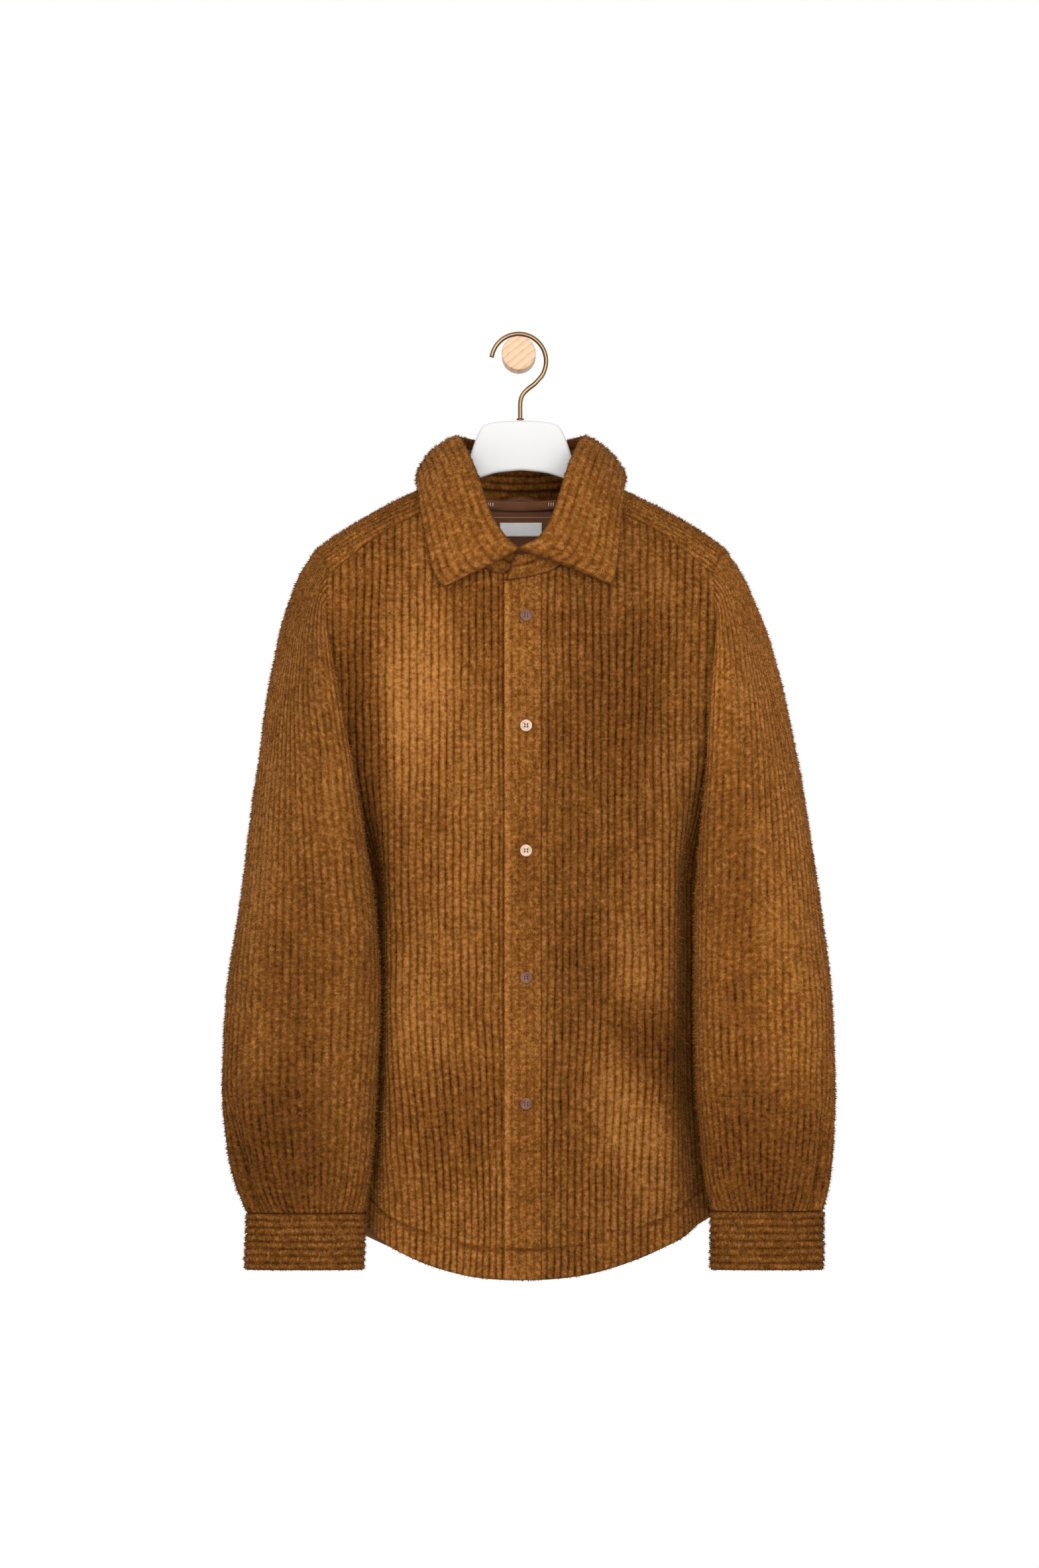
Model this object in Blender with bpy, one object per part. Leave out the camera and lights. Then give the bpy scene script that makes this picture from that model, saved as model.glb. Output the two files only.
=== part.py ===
"""Ribbed shearling overshirt on a flat coat hanger, hung on a round wooden wall peg.

All sizes are in millimetres until add_solid() turns them into metres.  X runs to the viewer's right,
Y away from the viewer to the wall and Z up.  Heights are measured from the hem's lowest point.  One
empty carries every piece, so that the origin lies in the middle of the peg's face at the wall.

The body is a stack of plan sections with a shoulder line on top.  A place on it is a height and a
number from -1 at the left side seam, over 0 at the centre, to 1 at the right side seam.
"""

import math

import bmesh
import bpy
import numpy as np

MM = 0.001

# Where it hangs: the peg's axis, and the wall behind it.
PEG_X = -2.0
PEG_HEIGHT = 878.6
WALL_Y = 100.0

# The cloth: thickness at a groove, how far a rib stands up, and the gap between pieces.
SKIN = 4.0
RIB_RISE = 2.0
SEAM_GAP = 0.3

# The plain inside skips columns as long as it stays this close to the true surface and to the true
# edges, and never more columns at a time than INSIDE_STEP.
PANEL_BOW = 0.8
SLEEVE_BOW = 1.5
EDGE_BOW = 0.2
INSIDE_STEP = 12

# Fronts and back.
QUARTER = 268.0          # nominal width of one front or half back, centre to side seam
RIBS_QUARTER = 30
STRAIGHT_SHARE = 0.45    # ribs keep their distance from the centre over this share of a quarter
# Rows from the hem to the upper edge, the same front and back, so that the side seams match.
BODY_SHARES = np.array([0.0, 0.25, 0.50, 0.68, 0.84, 1.0])
HEM_RISE = 72.0          # how much higher the hem is at the side seams
PLACKET_EDGE = -16.0     # x of the placket's free edge
PLACKET_SEAM = 19.5      # x where the placket meets the front it is sewn to
PLACKET_RIBS = 5
PLACKET_PROUD = 1.2      # how far the placket stands in front of the panel beside it
PLACKET_EASE = 2.2       # and how far its free edge is eased back
UNDER_EDGE = 15.0        # x of the hidden edge of the lower front
UNDER_SINK = 6.8         # how far the lower front lies behind the placket
SINK_FROM = 10.0         # it starts to sink this far before the placket's edge
SINK_TO = 1.0
BACK_YOKE_HEIGHT = 652.0
SHOULDER_FALL = 112.0    # height over which front and back curve in to the shoulder line
SHOULDER_POWER = 2.2
YOKE_PITCH = 9.8
YOKE_TIP_X = 197.0       # the yoke's armhole edge at the shoulder line
YOKE_BACK_X = 191.0      # and at the back seam
YOKE_CORNER_X = 128.0    # where the fronts turn, so that the yoke's edge needs a place there too

# Sleeves and cuffs.
CUFF_RIBS = 8
CUFF_STATIONS = 16

# Collar.
COLLAR_RIBS = 9
COLLAR_STATIONS = 21
LEAF_UP = 3.2            # from the leaf's middle to a groove on its upper face
LEAF_DOWN = 2.8
LEAF_EDGE_SHARE = 0.5    # share of that thickness left at the leaf's long edges
LEAF_RIB_SHARE = 0.9     # the leaf's ribs stand up a little less than the body's
LEAF_FULLNESS = 0.8      # under 1, the leaf's bulge is flatter in the middle
COLLAR_MIDDLE = 740.0    # height of the middle of the collar
STAND_RIBS = 4
STAND_HALF = 2.4
STAND_RIB_RISE = 1.4

# Small pieces.
BUTTON_RADIUS = 5.7
BUTTON_THICK = 2.4
BUTTON_X = 5.0
BUTTON_HEIGHTS = (629.0, 525.0, 407.0, 287.0, 168.0)
LABEL_WIDTH = 40.0
LABEL_DROP = 13.0
LABEL_TOP = 719.0
LOOP_HALF = 34.0
LOOP_HEIGHT = 736.5
FACING_TOP = 729.0
FACING_BOTTOM = 672.0
FACING_HALF = 54.0
# Depths of the trim inside the back's own inner surface.
FACING_DEPTHS = (3.8, 2.2)
LABEL_DEPTHS = (5.4, 4.5)
LOOP_DEPTH = 6.8
LOOP_HALF_THICK = 2.2
LOOP_HALF_HIGH = 4.2
LOOP_SAG = 2.0

# Hanger, hook and peg.
BOARD_THICK = 12.0
WIRE_RADIUS = 2.15
HOOK_RADIUS = 26.0
HOOK_HEIGHT = 871.2
BOARD_TOP = 815.0
PEG_RADIUS = 16.2
PEG_FRONT_Y = -14.0
ARM_END_X = 182.0
ARM_CLEAR = 6.5          # from the outside of the yoke down to the hanger's arm
ARM_DEPTH = 26.0
BOARD_EASE = 1.5         # bevel of the hanger's edges


def table(text):
    """Named columns of a text table, one array for each."""
    lines = [line.split() for line in text.strip().splitlines()]
    columns = zip(*lines[1:])
    return {name: np.array(column, dtype=float) for name, column in zip(lines[0], columns)}


# Plan sections.  yf and yb are the centre front and back; then x and y of the fold at the front's
# corner (f), the cut back corner beside the sleeve (c), the side seam (s) and the back's corner (b).
BODY = table("""
h    yf   lfx  lfy  lcx  lcy  lsx  lsy  lbx  lby  yb  rbx rby rsx rsy rcx rcy  rfx rfy
-10  -73  -118 -65  -148 -31  -206 40   -160 72   78  160 72  212 40  175 -31  142 -64
70   -76  -118 -69  -143 -33  -205 42   -160 74   80  160 74  211 42  167 -34  141 -68
180  -80  -118 -75  -136 -36  -204 46   -160 78   83  160 78  210 46  156 -38  139 -74
300  -82  -117 -77  -134 -37  -203 47   -162 80   84  162 80  209 47  153 -39  138 -76
400  -82  -119 -77  -139 -38  -202 40   -166 78   84  166 78  208 40  158 -40  140 -76
455  -82  -122 -77  -158 -50  -201 26   -170 74   83  170 74  205 26  170 -53  143 -76
520  -82  -125 -77  -180 -66  -206 4    -178 68   82  178 68  208 4   184 -66  146 -76
600  -81  -128 -77  -187 -71  -212 0    -182 68   80  182 68  213 0   190 -71  148 -76
700  -78  -128 -75  -187 -71  -212 0    -182 68   77  182 68  213 0   190 -71  148 -74
800  -78  -128 -75  -187 -71  -212 0    -182 68   76  182 68  213 0   190 -71  148 -74
""")

# The shoulder line's height at a distance from the centre.
SHOULDER = table("""
x    h
0    788
50   770
75   757
93   748
130  730
152  718
173  705
190  693
205  680
230  655
""")

# Upper edges by nominal distance from the centre.
NECKLINE = table("""
s    h
0    668
30   672
55   690
74   712
86   731
""")
YOKE_SEAM = table("""
s    h
86   731
135  705
181  668
""")
ARMHOLE_FRONT = table("""
s    h
181  668
184  625
187  585
192  550
201  516
217  485
240  463
268  455
""")
ARMHOLE_BACK = table("""
s    h
193  652
198  612
205  565
216  515
232  478
250  460
268  455
""")

# The yoke's edge at the neck: distance from the centre, and drop below the shoulder line.
YOKE_NECK = table("""
x    drop
0    43
20   41
40   35
56   25
66   15
76   3
83   -4
86   -18
""")

# Sleeve rings below the underarm: the outer and inner end of each, and half its depth.
SLEEVE_L = table("""
ox   oy   oh   ix   iy   ih    depth
-259 -18  390  -142 -64  376   65
-274 -38  285  -135 -64  285   57
-281 -44  195  -138 -62  195   51
-277 -48  130  -141 -58  130   43
-268 -50  92   -145 -55  92    34
-263 -51  76   -148 -54  76    27
-257 -51  64.6 -150 -53  64.6  22
""")
SLEEVE_R = table("""
ox   oy   oh   ix   iy   ih    depth
277  -18  390  168  -63  376   65
290  -38  285  165  -62  285   57
296  -44  195  167  -60  195   52
294  -48  130  171  -58  130   44
290  -50  94   176  -55  94    36
287  -51  79   179  -54  79    28
284  -51  66.6 182  -53  66.6  22
""")

# Parts of the way round a ring, in degrees from its inner end over the back: how many columns each
# has.  The armhole loop is divided alike: up the back to the shoulder tip, down the front to where
# the sleeve starts to fold over the body, and on to the place under the arm.
RING_PARTS = table("""
from  to   columns
70    180  28
180   360  40
360   430  16
""")
FOLD_HEIGHT = 580.0
CAP_SHARES = (0.0, 0.07, 0.2, 0.42, 0.7)   # rows between the armhole (0) and the first ring (1)
SLEEVE_ROWS = (0.0, 1.2, 2.6, 4.2, 6.0)
RISE_COUNTS = 0.15       # ribs run down, so that fewer of them end at the armhole's upright parts
TURN_GAP = 1.2           # there the seam also lies this much further from the body's edge
CAP_SMOOTHING = 4        # passes that even the cap's rows out round the sleeve
THINNER = 0.76           # share of the skin pressed away where the sleeve turns back sharply
CREASE_COLUMN = 58       # the column that runs down the sleeve's front fold
CREASE_WIDTH = 9.0
EASED = 0.9              # share of the ribs' rise taken off there
BODY_CLEAR = 6.4         # from the body's groove surface to the sleeve's
DRAWN_IN_CLEAR = 5.5
DRAWN_IN_HEIGHT = 400.0
DRAWN_IN_REACH = 48.0    # up and down from there
DRAWN_IN_FRONT = 5.0     # in full where y is less than this, and fading out up to the next
DRAWN_IN_BACK = 30.0
CLEAR_REACH = 12.0       # only places this near the kept distance are moved at all
CLEAR_SOFT = 1.5         # and the change is smooth over this length
SLEEVE_GAP = 0.9         # the armhole seam lies this far inside the body's edge
# How the cap leaves the armhole, by column, in lengths of its way to the first ring: away from the
# body, to the wall (y) and down.  turn: 1 where the sleeve must be clear of the body at once.
CAP_START = table("""
column  away  y      down  turn
0       0.40  0.00   0.55  1
5       0.46  0.12   0.50  1
10      0.50  0.06   0.56  0.3
15      0.42  -0.08  0.64  0
22      0.40  -0.16  0.65  0
28      0.46  -0.05  0.66  0
36      0.44  0.04   0.66  0
46      0.40  -0.04  0.60  0
52      0.40  -0.12  0.52  0
56      0.26  -0.40  0.42  0.2
60      0.04  -0.56  0.32  0.5
64      -0.06 -0.50  0.28  0.8
68      0.00  -0.32  0.36  1
73      0.24  -0.30  0.36  1
78      0.36  -0.14  0.42  1
84      0.40  0.00   0.55  1
""")
RING_SQUARE = 0.9        # under 1, the rings are a little squarer than ellipses
PLEAT_TOP = 190.0
PLEAT_DEPTH = 11.0
PLEAT_PLACE = 0.40       # round the ring, from 0 under the arm over the back
PLEAT_WIDTH = 0.026
PLEAT_FULL = 90.0        # height where the pleat is deepest
PLEAT_CLOSES = (92.0, 66.0, 0.7)   # it closes between these heights, by this share

# Cuffs: the ends of the lower edge; the upper edge is the sleeve's last ring.
CUFF_L = {"ox": -259.0, "ix": -150.0, "y": -52.0, "h": 10.5, "depth": 21.0}
CUFF_R = {"ox": 284.0, "ix": 181.0, "y": -52.0, "h": 10.5, "depth": 21.0}

# Collar, from the left front end round the back to the right one.  n: middle of the stand's lower
# edge, r: the roll line, e: the leaf's edge on the garment at ex, drop below the shoulder line
# (front side negative), lift: its height off the cloth, and how far the leaf bulges.
COLLAR = table("""
nx    ny    nh   rx    ry    rh   ex    drop  lift bulge
12    -72   671  0     -87   691  -69   -103  6    6
-28   -73   676  -14   -90   703  -79   -92   6    6
-55   -67   696  -29   -80   727  -86   -59   6    6
-74   -46   726  -42   -57   765  -90   -28   6    9
-75   -2    750  -54   -14   792  -91   -4    8    9
-62   38    756  -55   27    797  -88   12    8    9
-36   60    751  -36   54    795  -64   34    7    9
0     66    749  0     62    793  0     62    7    9
36    60    751  36    54    795  64    34    7    9
62    38    756  55    27    797  88    12    8    9
75    -2    750  54    -14   792  91    -4    8    9
74    -46   726  43    -57   765  91    -28   6    9
55    -67   696  31    -80   727  90    -59   6    6
26    -78   676  17    -91   703  88    -84   6    4
-14   -87   669  -3    -101  691  84    -96   7    4
""")
ROLL_DEPTH = 8.0         # from the leaf's middle at the roll down to the stand's upper edge

# Troughs pressed into the body: centre (-1 to 1), half width, depth, and the heights they fade at.
FRONT_FOLDS = table("""
w      width  depth  top  bottom
-0.64  0.080  2.5    420  60
0.62   0.080  3.0    360  40
0.30   0.090  2.0    300  20
""")
BACK_FOLDS = table("""
w      width  depth  top  bottom
-0.52  0.120  7.0    600  0
-0.17  0.090  4.0    430  0
0.20   0.100  5.0    520  0
0.58   0.120  7.0    600  0
""")


def hermite(knots, values, at):
    """Smooth curve through values at uneven knots, held straight past the ends."""
    knots, values, at = np.asarray(knots), np.asarray(values), np.asarray(at, dtype=float)
    at = np.clip(at, knots[0], knots[-1])
    slopes = np.diff(values) / np.diff(knots)
    inner = (slopes[:-1] * np.diff(knots)[1:] + slopes[1:] * np.diff(knots)[:-1])
    inner = inner / (np.diff(knots)[1:] + np.diff(knots)[:-1])
    tangents = np.concatenate([slopes[:1], inner, slopes[-1:]])
    span = np.clip(np.searchsorted(knots, at, side="right") - 1, 0, len(knots) - 2)
    width = knots[span + 1] - knots[span]
    t = (at - knots[span]) / width
    return (values[span] * (1 + 2 * t) * (1 - t) ** 2 + values[span + 1] * t * t * (3 - 2 * t)
            + tangents[span] * width * t * (1 - t) ** 2 - tangents[span + 1] * width * t * t * (1 - t))


def closed_curve(points, per_span):
    """Smooth closed curve through the points, with per_span places for each of them."""
    ahead = np.roll(points, -1, axis=0)
    step = np.sqrt(np.linalg.norm(ahead - points, axis=1))[:, None]
    step_before = np.roll(step, 1, axis=0)
    slope = (ahead - points) / step
    slope_before = np.roll(slope, 1, axis=0)
    tangent = (slope_before * step + slope * step_before) / (step + step_before)
    t = (np.arange(per_span) / per_span)[None, :, None]
    here, there = points[:, None], ahead[:, None]
    here_t, there_t = (tangent * step)[:, None], (np.roll(tangent, -1, axis=0) * step)[:, None]
    curve = (here * (1 + 2 * t) * (1 - t) ** 2 + there * t * t * (3 - 2 * t)
             + here_t * t * (1 - t) ** 2 - there_t * t * t * (1 - t))
    return curve.reshape(-1, 2)


def smoothstep(low, high, value):
    t = np.clip((np.asarray(value, dtype=float) - low) / (high - low), 0.0, 1.0)
    return t * t * (3 - 2 * t)


def shoulder_height(x):
    return hermite(SHOULDER["x"], SHOULDER["h"], np.abs(x))


def shoulder_share(drop):
    """How much of the full depth the body has at a drop below the shoulder line."""
    rest = 1 - np.clip(drop / SHOULDER_FALL, 0.0, 1.0)
    return (1 - rest ** SHOULDER_POWER) ** (1 / SHOULDER_POWER)


class Half:
    """The front or the back half of the body: sections between the side seams at every height."""

    STEP = 5.0
    PLACES = np.linspace(-1, 1, 321)

    def __init__(self, back):
        self.back = back
        self.folds = BACK_FOLDS if back else FRONT_FOLDS
        self.heights = np.arange(BODY["h"][0], BODY["h"][-1] + 1, self.STEP)
        rows = [self.section(h) for h in self.heights]
        self.x = np.array([row[0] for row in rows])
        self.y = np.array([row[1] for row in rows])
        self.left = np.array([row[2] for row in rows])
        self.right = np.array([row[3] for row in rows])
        self.turn_x = np.array([row[4] for row in rows])
        self.turn_y = np.array([row[5] for row in rows])

    def section(self, h):
        """x and y at each place of one section, the lengths of its arcs, and its direction."""
        per_span = 24
        value = {name: float(hermite(BODY["h"], BODY[name], h)) for name in BODY if name != "h"}
        ring = [(0, value["yf"]), (value["lfx"], value["lfy"]), (value["lcx"], value["lcy"]),
                (value["lsx"], value["lsy"]), (value["lbx"], value["lby"]), (0, value["yb"]),
                (value["rbx"], value["rby"]), (value["rsx"], value["rsy"]),
                (value["rcx"], value["rcy"]), (value["rfx"], value["rfy"])]
        curve = closed_curve(np.array(ring, dtype=float), per_span)
        turn = np.roll(curve, -1, axis=0) - np.roll(curve, 1, axis=0)
        turn /= np.linalg.norm(turn, axis=1, keepdims=True)
        left_seam, middle_back, right_seam = 3 * per_span, 5 * per_span, 7 * per_span
        if self.back:
            half, turn = curve[left_seam:right_seam + 1], turn[left_seam:right_seam + 1]
            centre = middle_back - left_seam
        else:
            half = np.vstack([curve[right_seam:], curve[:left_seam + 1]])[::-1]
            turn = -np.vstack([turn[right_seam:], turn[:left_seam + 1]])[::-1]
            centre = left_seam
        run = np.concatenate([[0], np.cumsum(np.linalg.norm(np.diff(half, axis=0), axis=1))])
        run -= run[centre]
        left, right = -run[0], run[-1]
        place = np.where(run < 0, run / left, run / right)
        x, y, turn_x, turn_y = [np.interp(self.PLACES, place, line) for line in (*half.T, *turn.T)]
        return x, y, left, right, turn_x, turn_y

    def look_up(self, grid, h, place):
        row = np.clip((h - self.heights[0]) / self.STEP, 0, len(self.heights) - 1.001)
        column = np.clip((place + 1) / 2 * (len(self.PLACES) - 1), 0, len(self.PLACES) - 1.001)
        r, c = row.astype(int), column.astype(int)
        fr, fc = row - r, column - c
        return ((grid[r, c] * (1 - fc) + grid[r, c + 1] * fc) * (1 - fr)
                + (grid[r + 1, c] * (1 - fc) + grid[r + 1, c + 1] * fc) * fr)

    def fold_depth(self, w, h):
        depth = np.zeros(np.broadcast(w, h).shape)
        for k in range(len(self.folds["w"])):
            across = np.exp(-((w - self.folds["w"][k]) / self.folds["width"][k]) ** 2)
            top, bottom = self.folds["top"][k], self.folds["bottom"][k]
            along = smoothstep(top, top - 160, h) * smoothstep(bottom - 60, bottom + 40, h)
            depth += self.folds["depth"][k] * across * along
        return depth

    def place(self, w, h):
        """The share of the way from centre to side seam at w and h, with the side's sign."""
        side = np.where(w < 0, np.interp(h, self.heights, self.left),
                        np.interp(h, self.heights, self.right))
        ease = np.clip((np.abs(w) - STRAIGHT_SHARE) / (1 - STRAIGHT_SHARE), 0, None) ** 2
        return np.sign(w) * (np.abs(w) * QUARTER + (side - QUARTER) * ease) / side

    def point(self, w, h):
        """Places on the groove surface for w from -1 to 1 and heights h."""
        w, h = np.broadcast_arrays(np.asarray(w, dtype=float), np.asarray(h, dtype=float))
        place = self.place(w, h)
        x = self.look_up(self.x, h, place)
        y = self.look_up(self.y, h, place)
        inward = -1 if self.back else 1
        y = y + inward * self.fold_depth(w, h)
        y = y * shoulder_share(shoulder_height(x) - h)
        return np.stack([x, y, h], axis=-1)

    def normal(self, w, h):
        small = 1.5
        w, h = np.broadcast_arrays(np.asarray(w, dtype=float), np.asarray(h, dtype=float))
        across = self.point(w + small / QUARTER, h) - self.point(w - small / QUARTER, h)
        place = self.place(w, h)
        at_seam = np.stack([self.look_up(self.turn_x, h, place), self.look_up(self.turn_y, h, place),
                            np.zeros(h.shape)], axis=-1)
        across = np.where((np.abs(w) > 0.97)[..., None], at_seam, across)
        up = self.point(w, h + small) - self.point(w, h - small)
        out = np.cross(across, up) * (-1 if self.back else 1)
        return out / np.linalg.norm(out, axis=-1, keepdims=True)

    def depth_at(self, x, h):
        """y of this half at x, for the parts between the corners where y depends on x alone."""
        x, h = np.broadcast_arrays(np.asarray(x, dtype=float), np.asarray(h, dtype=float))
        row = np.clip(((h - self.heights[0]) / self.STEP), 0, len(self.heights) - 1.001)
        low = row.astype(int)
        out = np.empty(x.shape)
        for i in np.ndindex(x.shape):
            below = np.interp(x[i], self.x[low[i]], self.y[low[i]])
            above = np.interp(x[i], self.x[low[i] + 1], self.y[low[i] + 1])
            out[i] = below + (above - below) * (row[i] - low[i])
        return out


FRONT = Half(back=False)
BACK = Half(back=True)

# Length along the cloth from the shoulder line down, for a body of ordinary depth.
_drops = np.linspace(0, SHOULDER_FALL, 400)
_depths = 80 * shoulder_share(_drops)
_lengths = np.concatenate([[0], np.cumsum(np.hypot(np.diff(_drops), np.diff(_depths)))])


def drop_of(q):
    """Drop below the shoulder line at a length q along the cloth."""
    past = np.clip(np.abs(q) - _lengths[-1], 0, None)
    return np.interp(np.abs(q), _lengths, _drops) + past


def length_of(drop):
    past = np.clip(drop - _drops[-1], 0, None)
    return np.interp(drop, _drops, _lengths) + past


def shoulder_point(x, q):
    """Place on the groove surface at x, a length q over the shoulder line: front negative."""
    x, q = np.broadcast_arrays(np.asarray(x, dtype=float), np.asarray(q, dtype=float))
    drop = drop_of(q)
    h = shoulder_height(x) - drop
    depth = np.where(q < 0, FRONT.depth_at(x, h), BACK.depth_at(x, h))
    return np.stack([x, depth * shoulder_share(drop), h], axis=-1)


def shoulder_normal(x, q):
    small = 1.5
    across = shoulder_point(x + small, q) - shoulder_point(x - small, q)
    over = shoulder_point(x, q + small) - shoulder_point(x, q - small)
    out = np.cross(across, over)
    return out / np.linalg.norm(out, axis=-1, keepdims=True)


def hem_height(w, back=False):
    rise = (1 - np.cos(math.pi * np.abs(w) ** 1.25)) / 2
    return 1.2 + HEM_RISE * rise + (5.0 * (1 - np.abs(w)) if back else 0.0)


def front_top(w):
    """Upper edge of a front: neckline, yoke seam and armhole, one after the other."""
    s = np.abs(w) * QUARTER
    neck, seam, hole = [hermite(part["s"], part["h"], s) for part in (NECKLINE, YOKE_SEAM, ARMHOLE_FRONT)]
    seam = seam - 2 * SEAM_GAP
    return np.where(s < NECKLINE["s"][-1], neck, np.where(s < YOKE_SEAM["s"][-1], seam, hole)) - SEAM_GAP


def back_top(w):
    s = np.abs(w) * QUARTER
    hole = hermite(ARMHOLE_BACK["s"], ARMHOLE_BACK["h"], s)
    return np.where(s < ARMHOLE_BACK["s"][0], BACK_YOKE_HEIGHT, hole) - SEAM_GAP


# ---------------------------------------------------------------- solids

def fur():
    return make_material("ribbed_fur", (0.30, 0.145, 0.042), 0.9)


def make_material(name, colour, roughness, metallic=0.0):
    """One Principled material; a name that is already there is used again."""
    found = bpy.data.materials.get(name)
    if found:
        return found
    material = bpy.data.materials.new(name)
    material.use_nodes = True
    shader = material.node_tree.nodes["Principled BSDF"]
    shader.inputs["Base Color"].default_value = (*colour, 1.0)
    shader.inputs["Roughness"].default_value = roughness
    shader.inputs["Metallic"].default_value = metallic
    material.diffuse_color = (*colour, 1.0)
    return material


def add_solid(name, material, points, faces, merge=False):
    """One closed object from points in millimetres."""
    mesh = bpy.data.meshes.new(name)
    mesh.from_pydata((np.asarray(points) * MM).tolist(), [], faces)
    shape = bmesh.new()
    shape.from_mesh(mesh)
    if merge:
        bmesh.ops.remove_doubles(shape, verts=shape.verts, dist=0.01 * MM)
    bmesh.ops.recalc_face_normals(shape, faces=shape.faces)
    shape.to_mesh(mesh)
    shape.free()
    mesh.materials.append(material)
    piece = bpy.data.objects.new(name, mesh)
    bpy.context.scene.collection.objects.link(piece)
    return piece


def wall(name, material, outer, inner, shared, loop=False, merge=False):
    """Closed wall between a fine outer grid and an inner grid of its shared columns only."""
    rows, cols = outer.shape[:2]
    coarse = len(shared)

    def out(r, c):
        return r * cols + c % cols

    def inn(r, k):
        return rows * cols + r * coarse + k % coarse

    faces = []
    for r in range(rows - 1):
        for c in range(cols if loop else cols - 1):
            faces.append((out(r, c), out(r, c + 1), out(r + 1, c + 1), out(r + 1, c)))
        for k in range(coarse if loop else coarse - 1):
            faces.append((inn(r, k), inn(r + 1, k), inn(r + 1, k + 1), inn(r, k + 1)))
    ends = list(shared[1:]) + ([cols] if loop else [])
    for k, (a, b) in enumerate(zip(shared, ends)):
        middle = min(max(a, 2 * round((a + b) / 4)), b)     # an even column lies in a groove
        for r in (0, rows - 1):
            for c in range(a, b):
                faces.append((out(r, c), out(r, c + 1), inn(r, k if c < middle else k + 1)))
            faces.append((out(r, middle), inn(r, k + 1), inn(r, k)))
    if not loop:
        for r in range(rows - 1):
            faces.append((out(r, 0), out(r + 1, 0), inn(r + 1, 0), inn(r, 0)))
            faces.append((out(r, cols - 1), inn(r, coarse - 1), inn(r + 1, coarse - 1),
                          out(r + 1, cols - 1)))
    points = np.vstack([outer.reshape(-1, 3), inner.reshape(-1, 3)])
    return add_solid(name, material, points, faces, merge=merge)


def crests(count):
    """Rise of each column: a groove, a crest, a groove and so on, for count columns."""
    return RIB_RISE * (np.arange(count) % 2)


def every(count, step):
    """Column numbers kept on the inside: every step-th one and both ends."""
    return [c for c in range(count) if c % step == 0 or c == count - 1]


def kept_columns(inner, normal, most, loop=False):
    """Column numbers enough for a plain inside; the others lie close to lines between these."""
    count = inner.shape[1]
    last = count if loop else count - 1

    def straight(a, b):
        t = ((np.arange(a + 1, b) - a) / (b - a))[None, :, None]
        chord = (inner[:, b % count] - inner[:, a])[:, None]
        bow = inner[:, a + 1:b] - inner[:, a][:, None] - chord * t
        if np.abs(np.sum(bow * normal[:, a + 1:b], axis=-1)).max() > most:
            return False
        m = (a + b) // 2
        centre = inner[:-1, m] + inner[1:, m]
        for c, d in ((a, b % count), (b % count, a)):
            twist = (inner[:-1, c] + inner[1:, d] - centre) / 2
            if np.abs(np.sum(twist * normal[:-1, m], axis=-1)).max() > most:
                return False
        ends = bow[[0, -1]]
        line = chord[[0, -1]] / (np.linalg.norm(chord[[0, -1]], axis=-1, keepdims=True) + 1e-9)
        across = ends - line * np.sum(ends * line, axis=-1, keepdims=True)
        return np.linalg.norm(across, axis=-1).max() < EDGE_BOW

    keep = [0]
    while keep[-1] < last:
        a = keep[-1]
        b = a + 1
        while b < last and b - a < INSIDE_STEP and straight(a, b + 1):
            b += 1
        keep.append(b)
    return keep[:-1] if loop else keep


def rib_columns(start, end, ribs):
    return np.linspace(start, end, 2 * ribs + 1)


def body_panel(name, half, w, top, sink=None):
    """One front or the back: columns at w, rows from the hem to the top curve."""
    hem = hem_height(w, half.back)
    h = hem + (top - hem) * BODY_SHARES[:, None]
    base = half.point(w, h)
    normal = half.normal(w, h)
    if sink is not None:
        base = base - normal * sink[None, :, None]
    outer = base + normal * crests(len(w))[None, :, None]
    inner = base - normal * SKIN
    shared = kept_columns(inner, normal, PANEL_BOW)
    wall(name, fur(), outer, inner[:, shared], shared)
    return base, normal


def make_fronts():
    """Both fronts; returns the armhole edges of the left and right one, with their normals."""
    gap = SEAM_GAP / QUARTER
    ribs_left = RIBS_QUARTER + round(UNDER_EDGE / QUARTER * RIBS_QUARTER)
    w = rib_columns(-1 + gap, UNDER_EDGE / QUARTER, ribs_left)
    sink = UNDER_SINK * smoothstep(PLACKET_EDGE - SINK_FROM, PLACKET_EDGE - SINK_TO, w * QUARTER)
    left = body_panel("front_under", FRONT, w, front_top(w), sink)
    start = (PLACKET_SEAM + SEAM_GAP) / QUARTER
    w = rib_columns(start, 1 - gap, round((1 - start) * RIBS_QUARTER))
    right = body_panel("front_top", FRONT, w, front_top(w))
    return left, right


def make_placket():
    """Double strip on the upper front's edge: full ribs in front, plain behind."""
    w = rib_columns(PLACKET_EDGE / QUARTER, PLACKET_SEAM / QUARTER, PLACKET_RIBS)
    hem = hem_height(w)
    h = hem + (front_top(w) - hem) * BODY_SHARES[:, None]
    base = FRONT.point(w, h)
    normal = FRONT.normal(w, h)
    rise = crests(len(w)) + PLACKET_PROUD
    rise[0] -= PLACKET_EASE
    rise[-1] -= PLACKET_PROUD
    outer = base + normal * rise[None, :, None]
    shared = every(len(w), 5)
    inner = (base - normal * SKIN)[:, shared]
    wall("placket", fur(), outer, inner, shared)


def make_back():
    gap = SEAM_GAP / QUARTER
    w = rib_columns(-1 + gap, 1 - gap, 2 * RIBS_QUARTER)
    return body_panel("back", BACK, w, back_top(w))


def yoke_stations():
    """Distances from the centre at which the yoke's grid has a station, armhole to armhole."""
    neck = list(YOKE_NECK["x"])
    shoulder = [107.0, YOKE_CORNER_X, 145.0, 162.0, 180.0, YOKE_TIP_X]
    half = neck + shoulder
    return np.array([-x for x in half[:0:-1]] + half)


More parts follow.
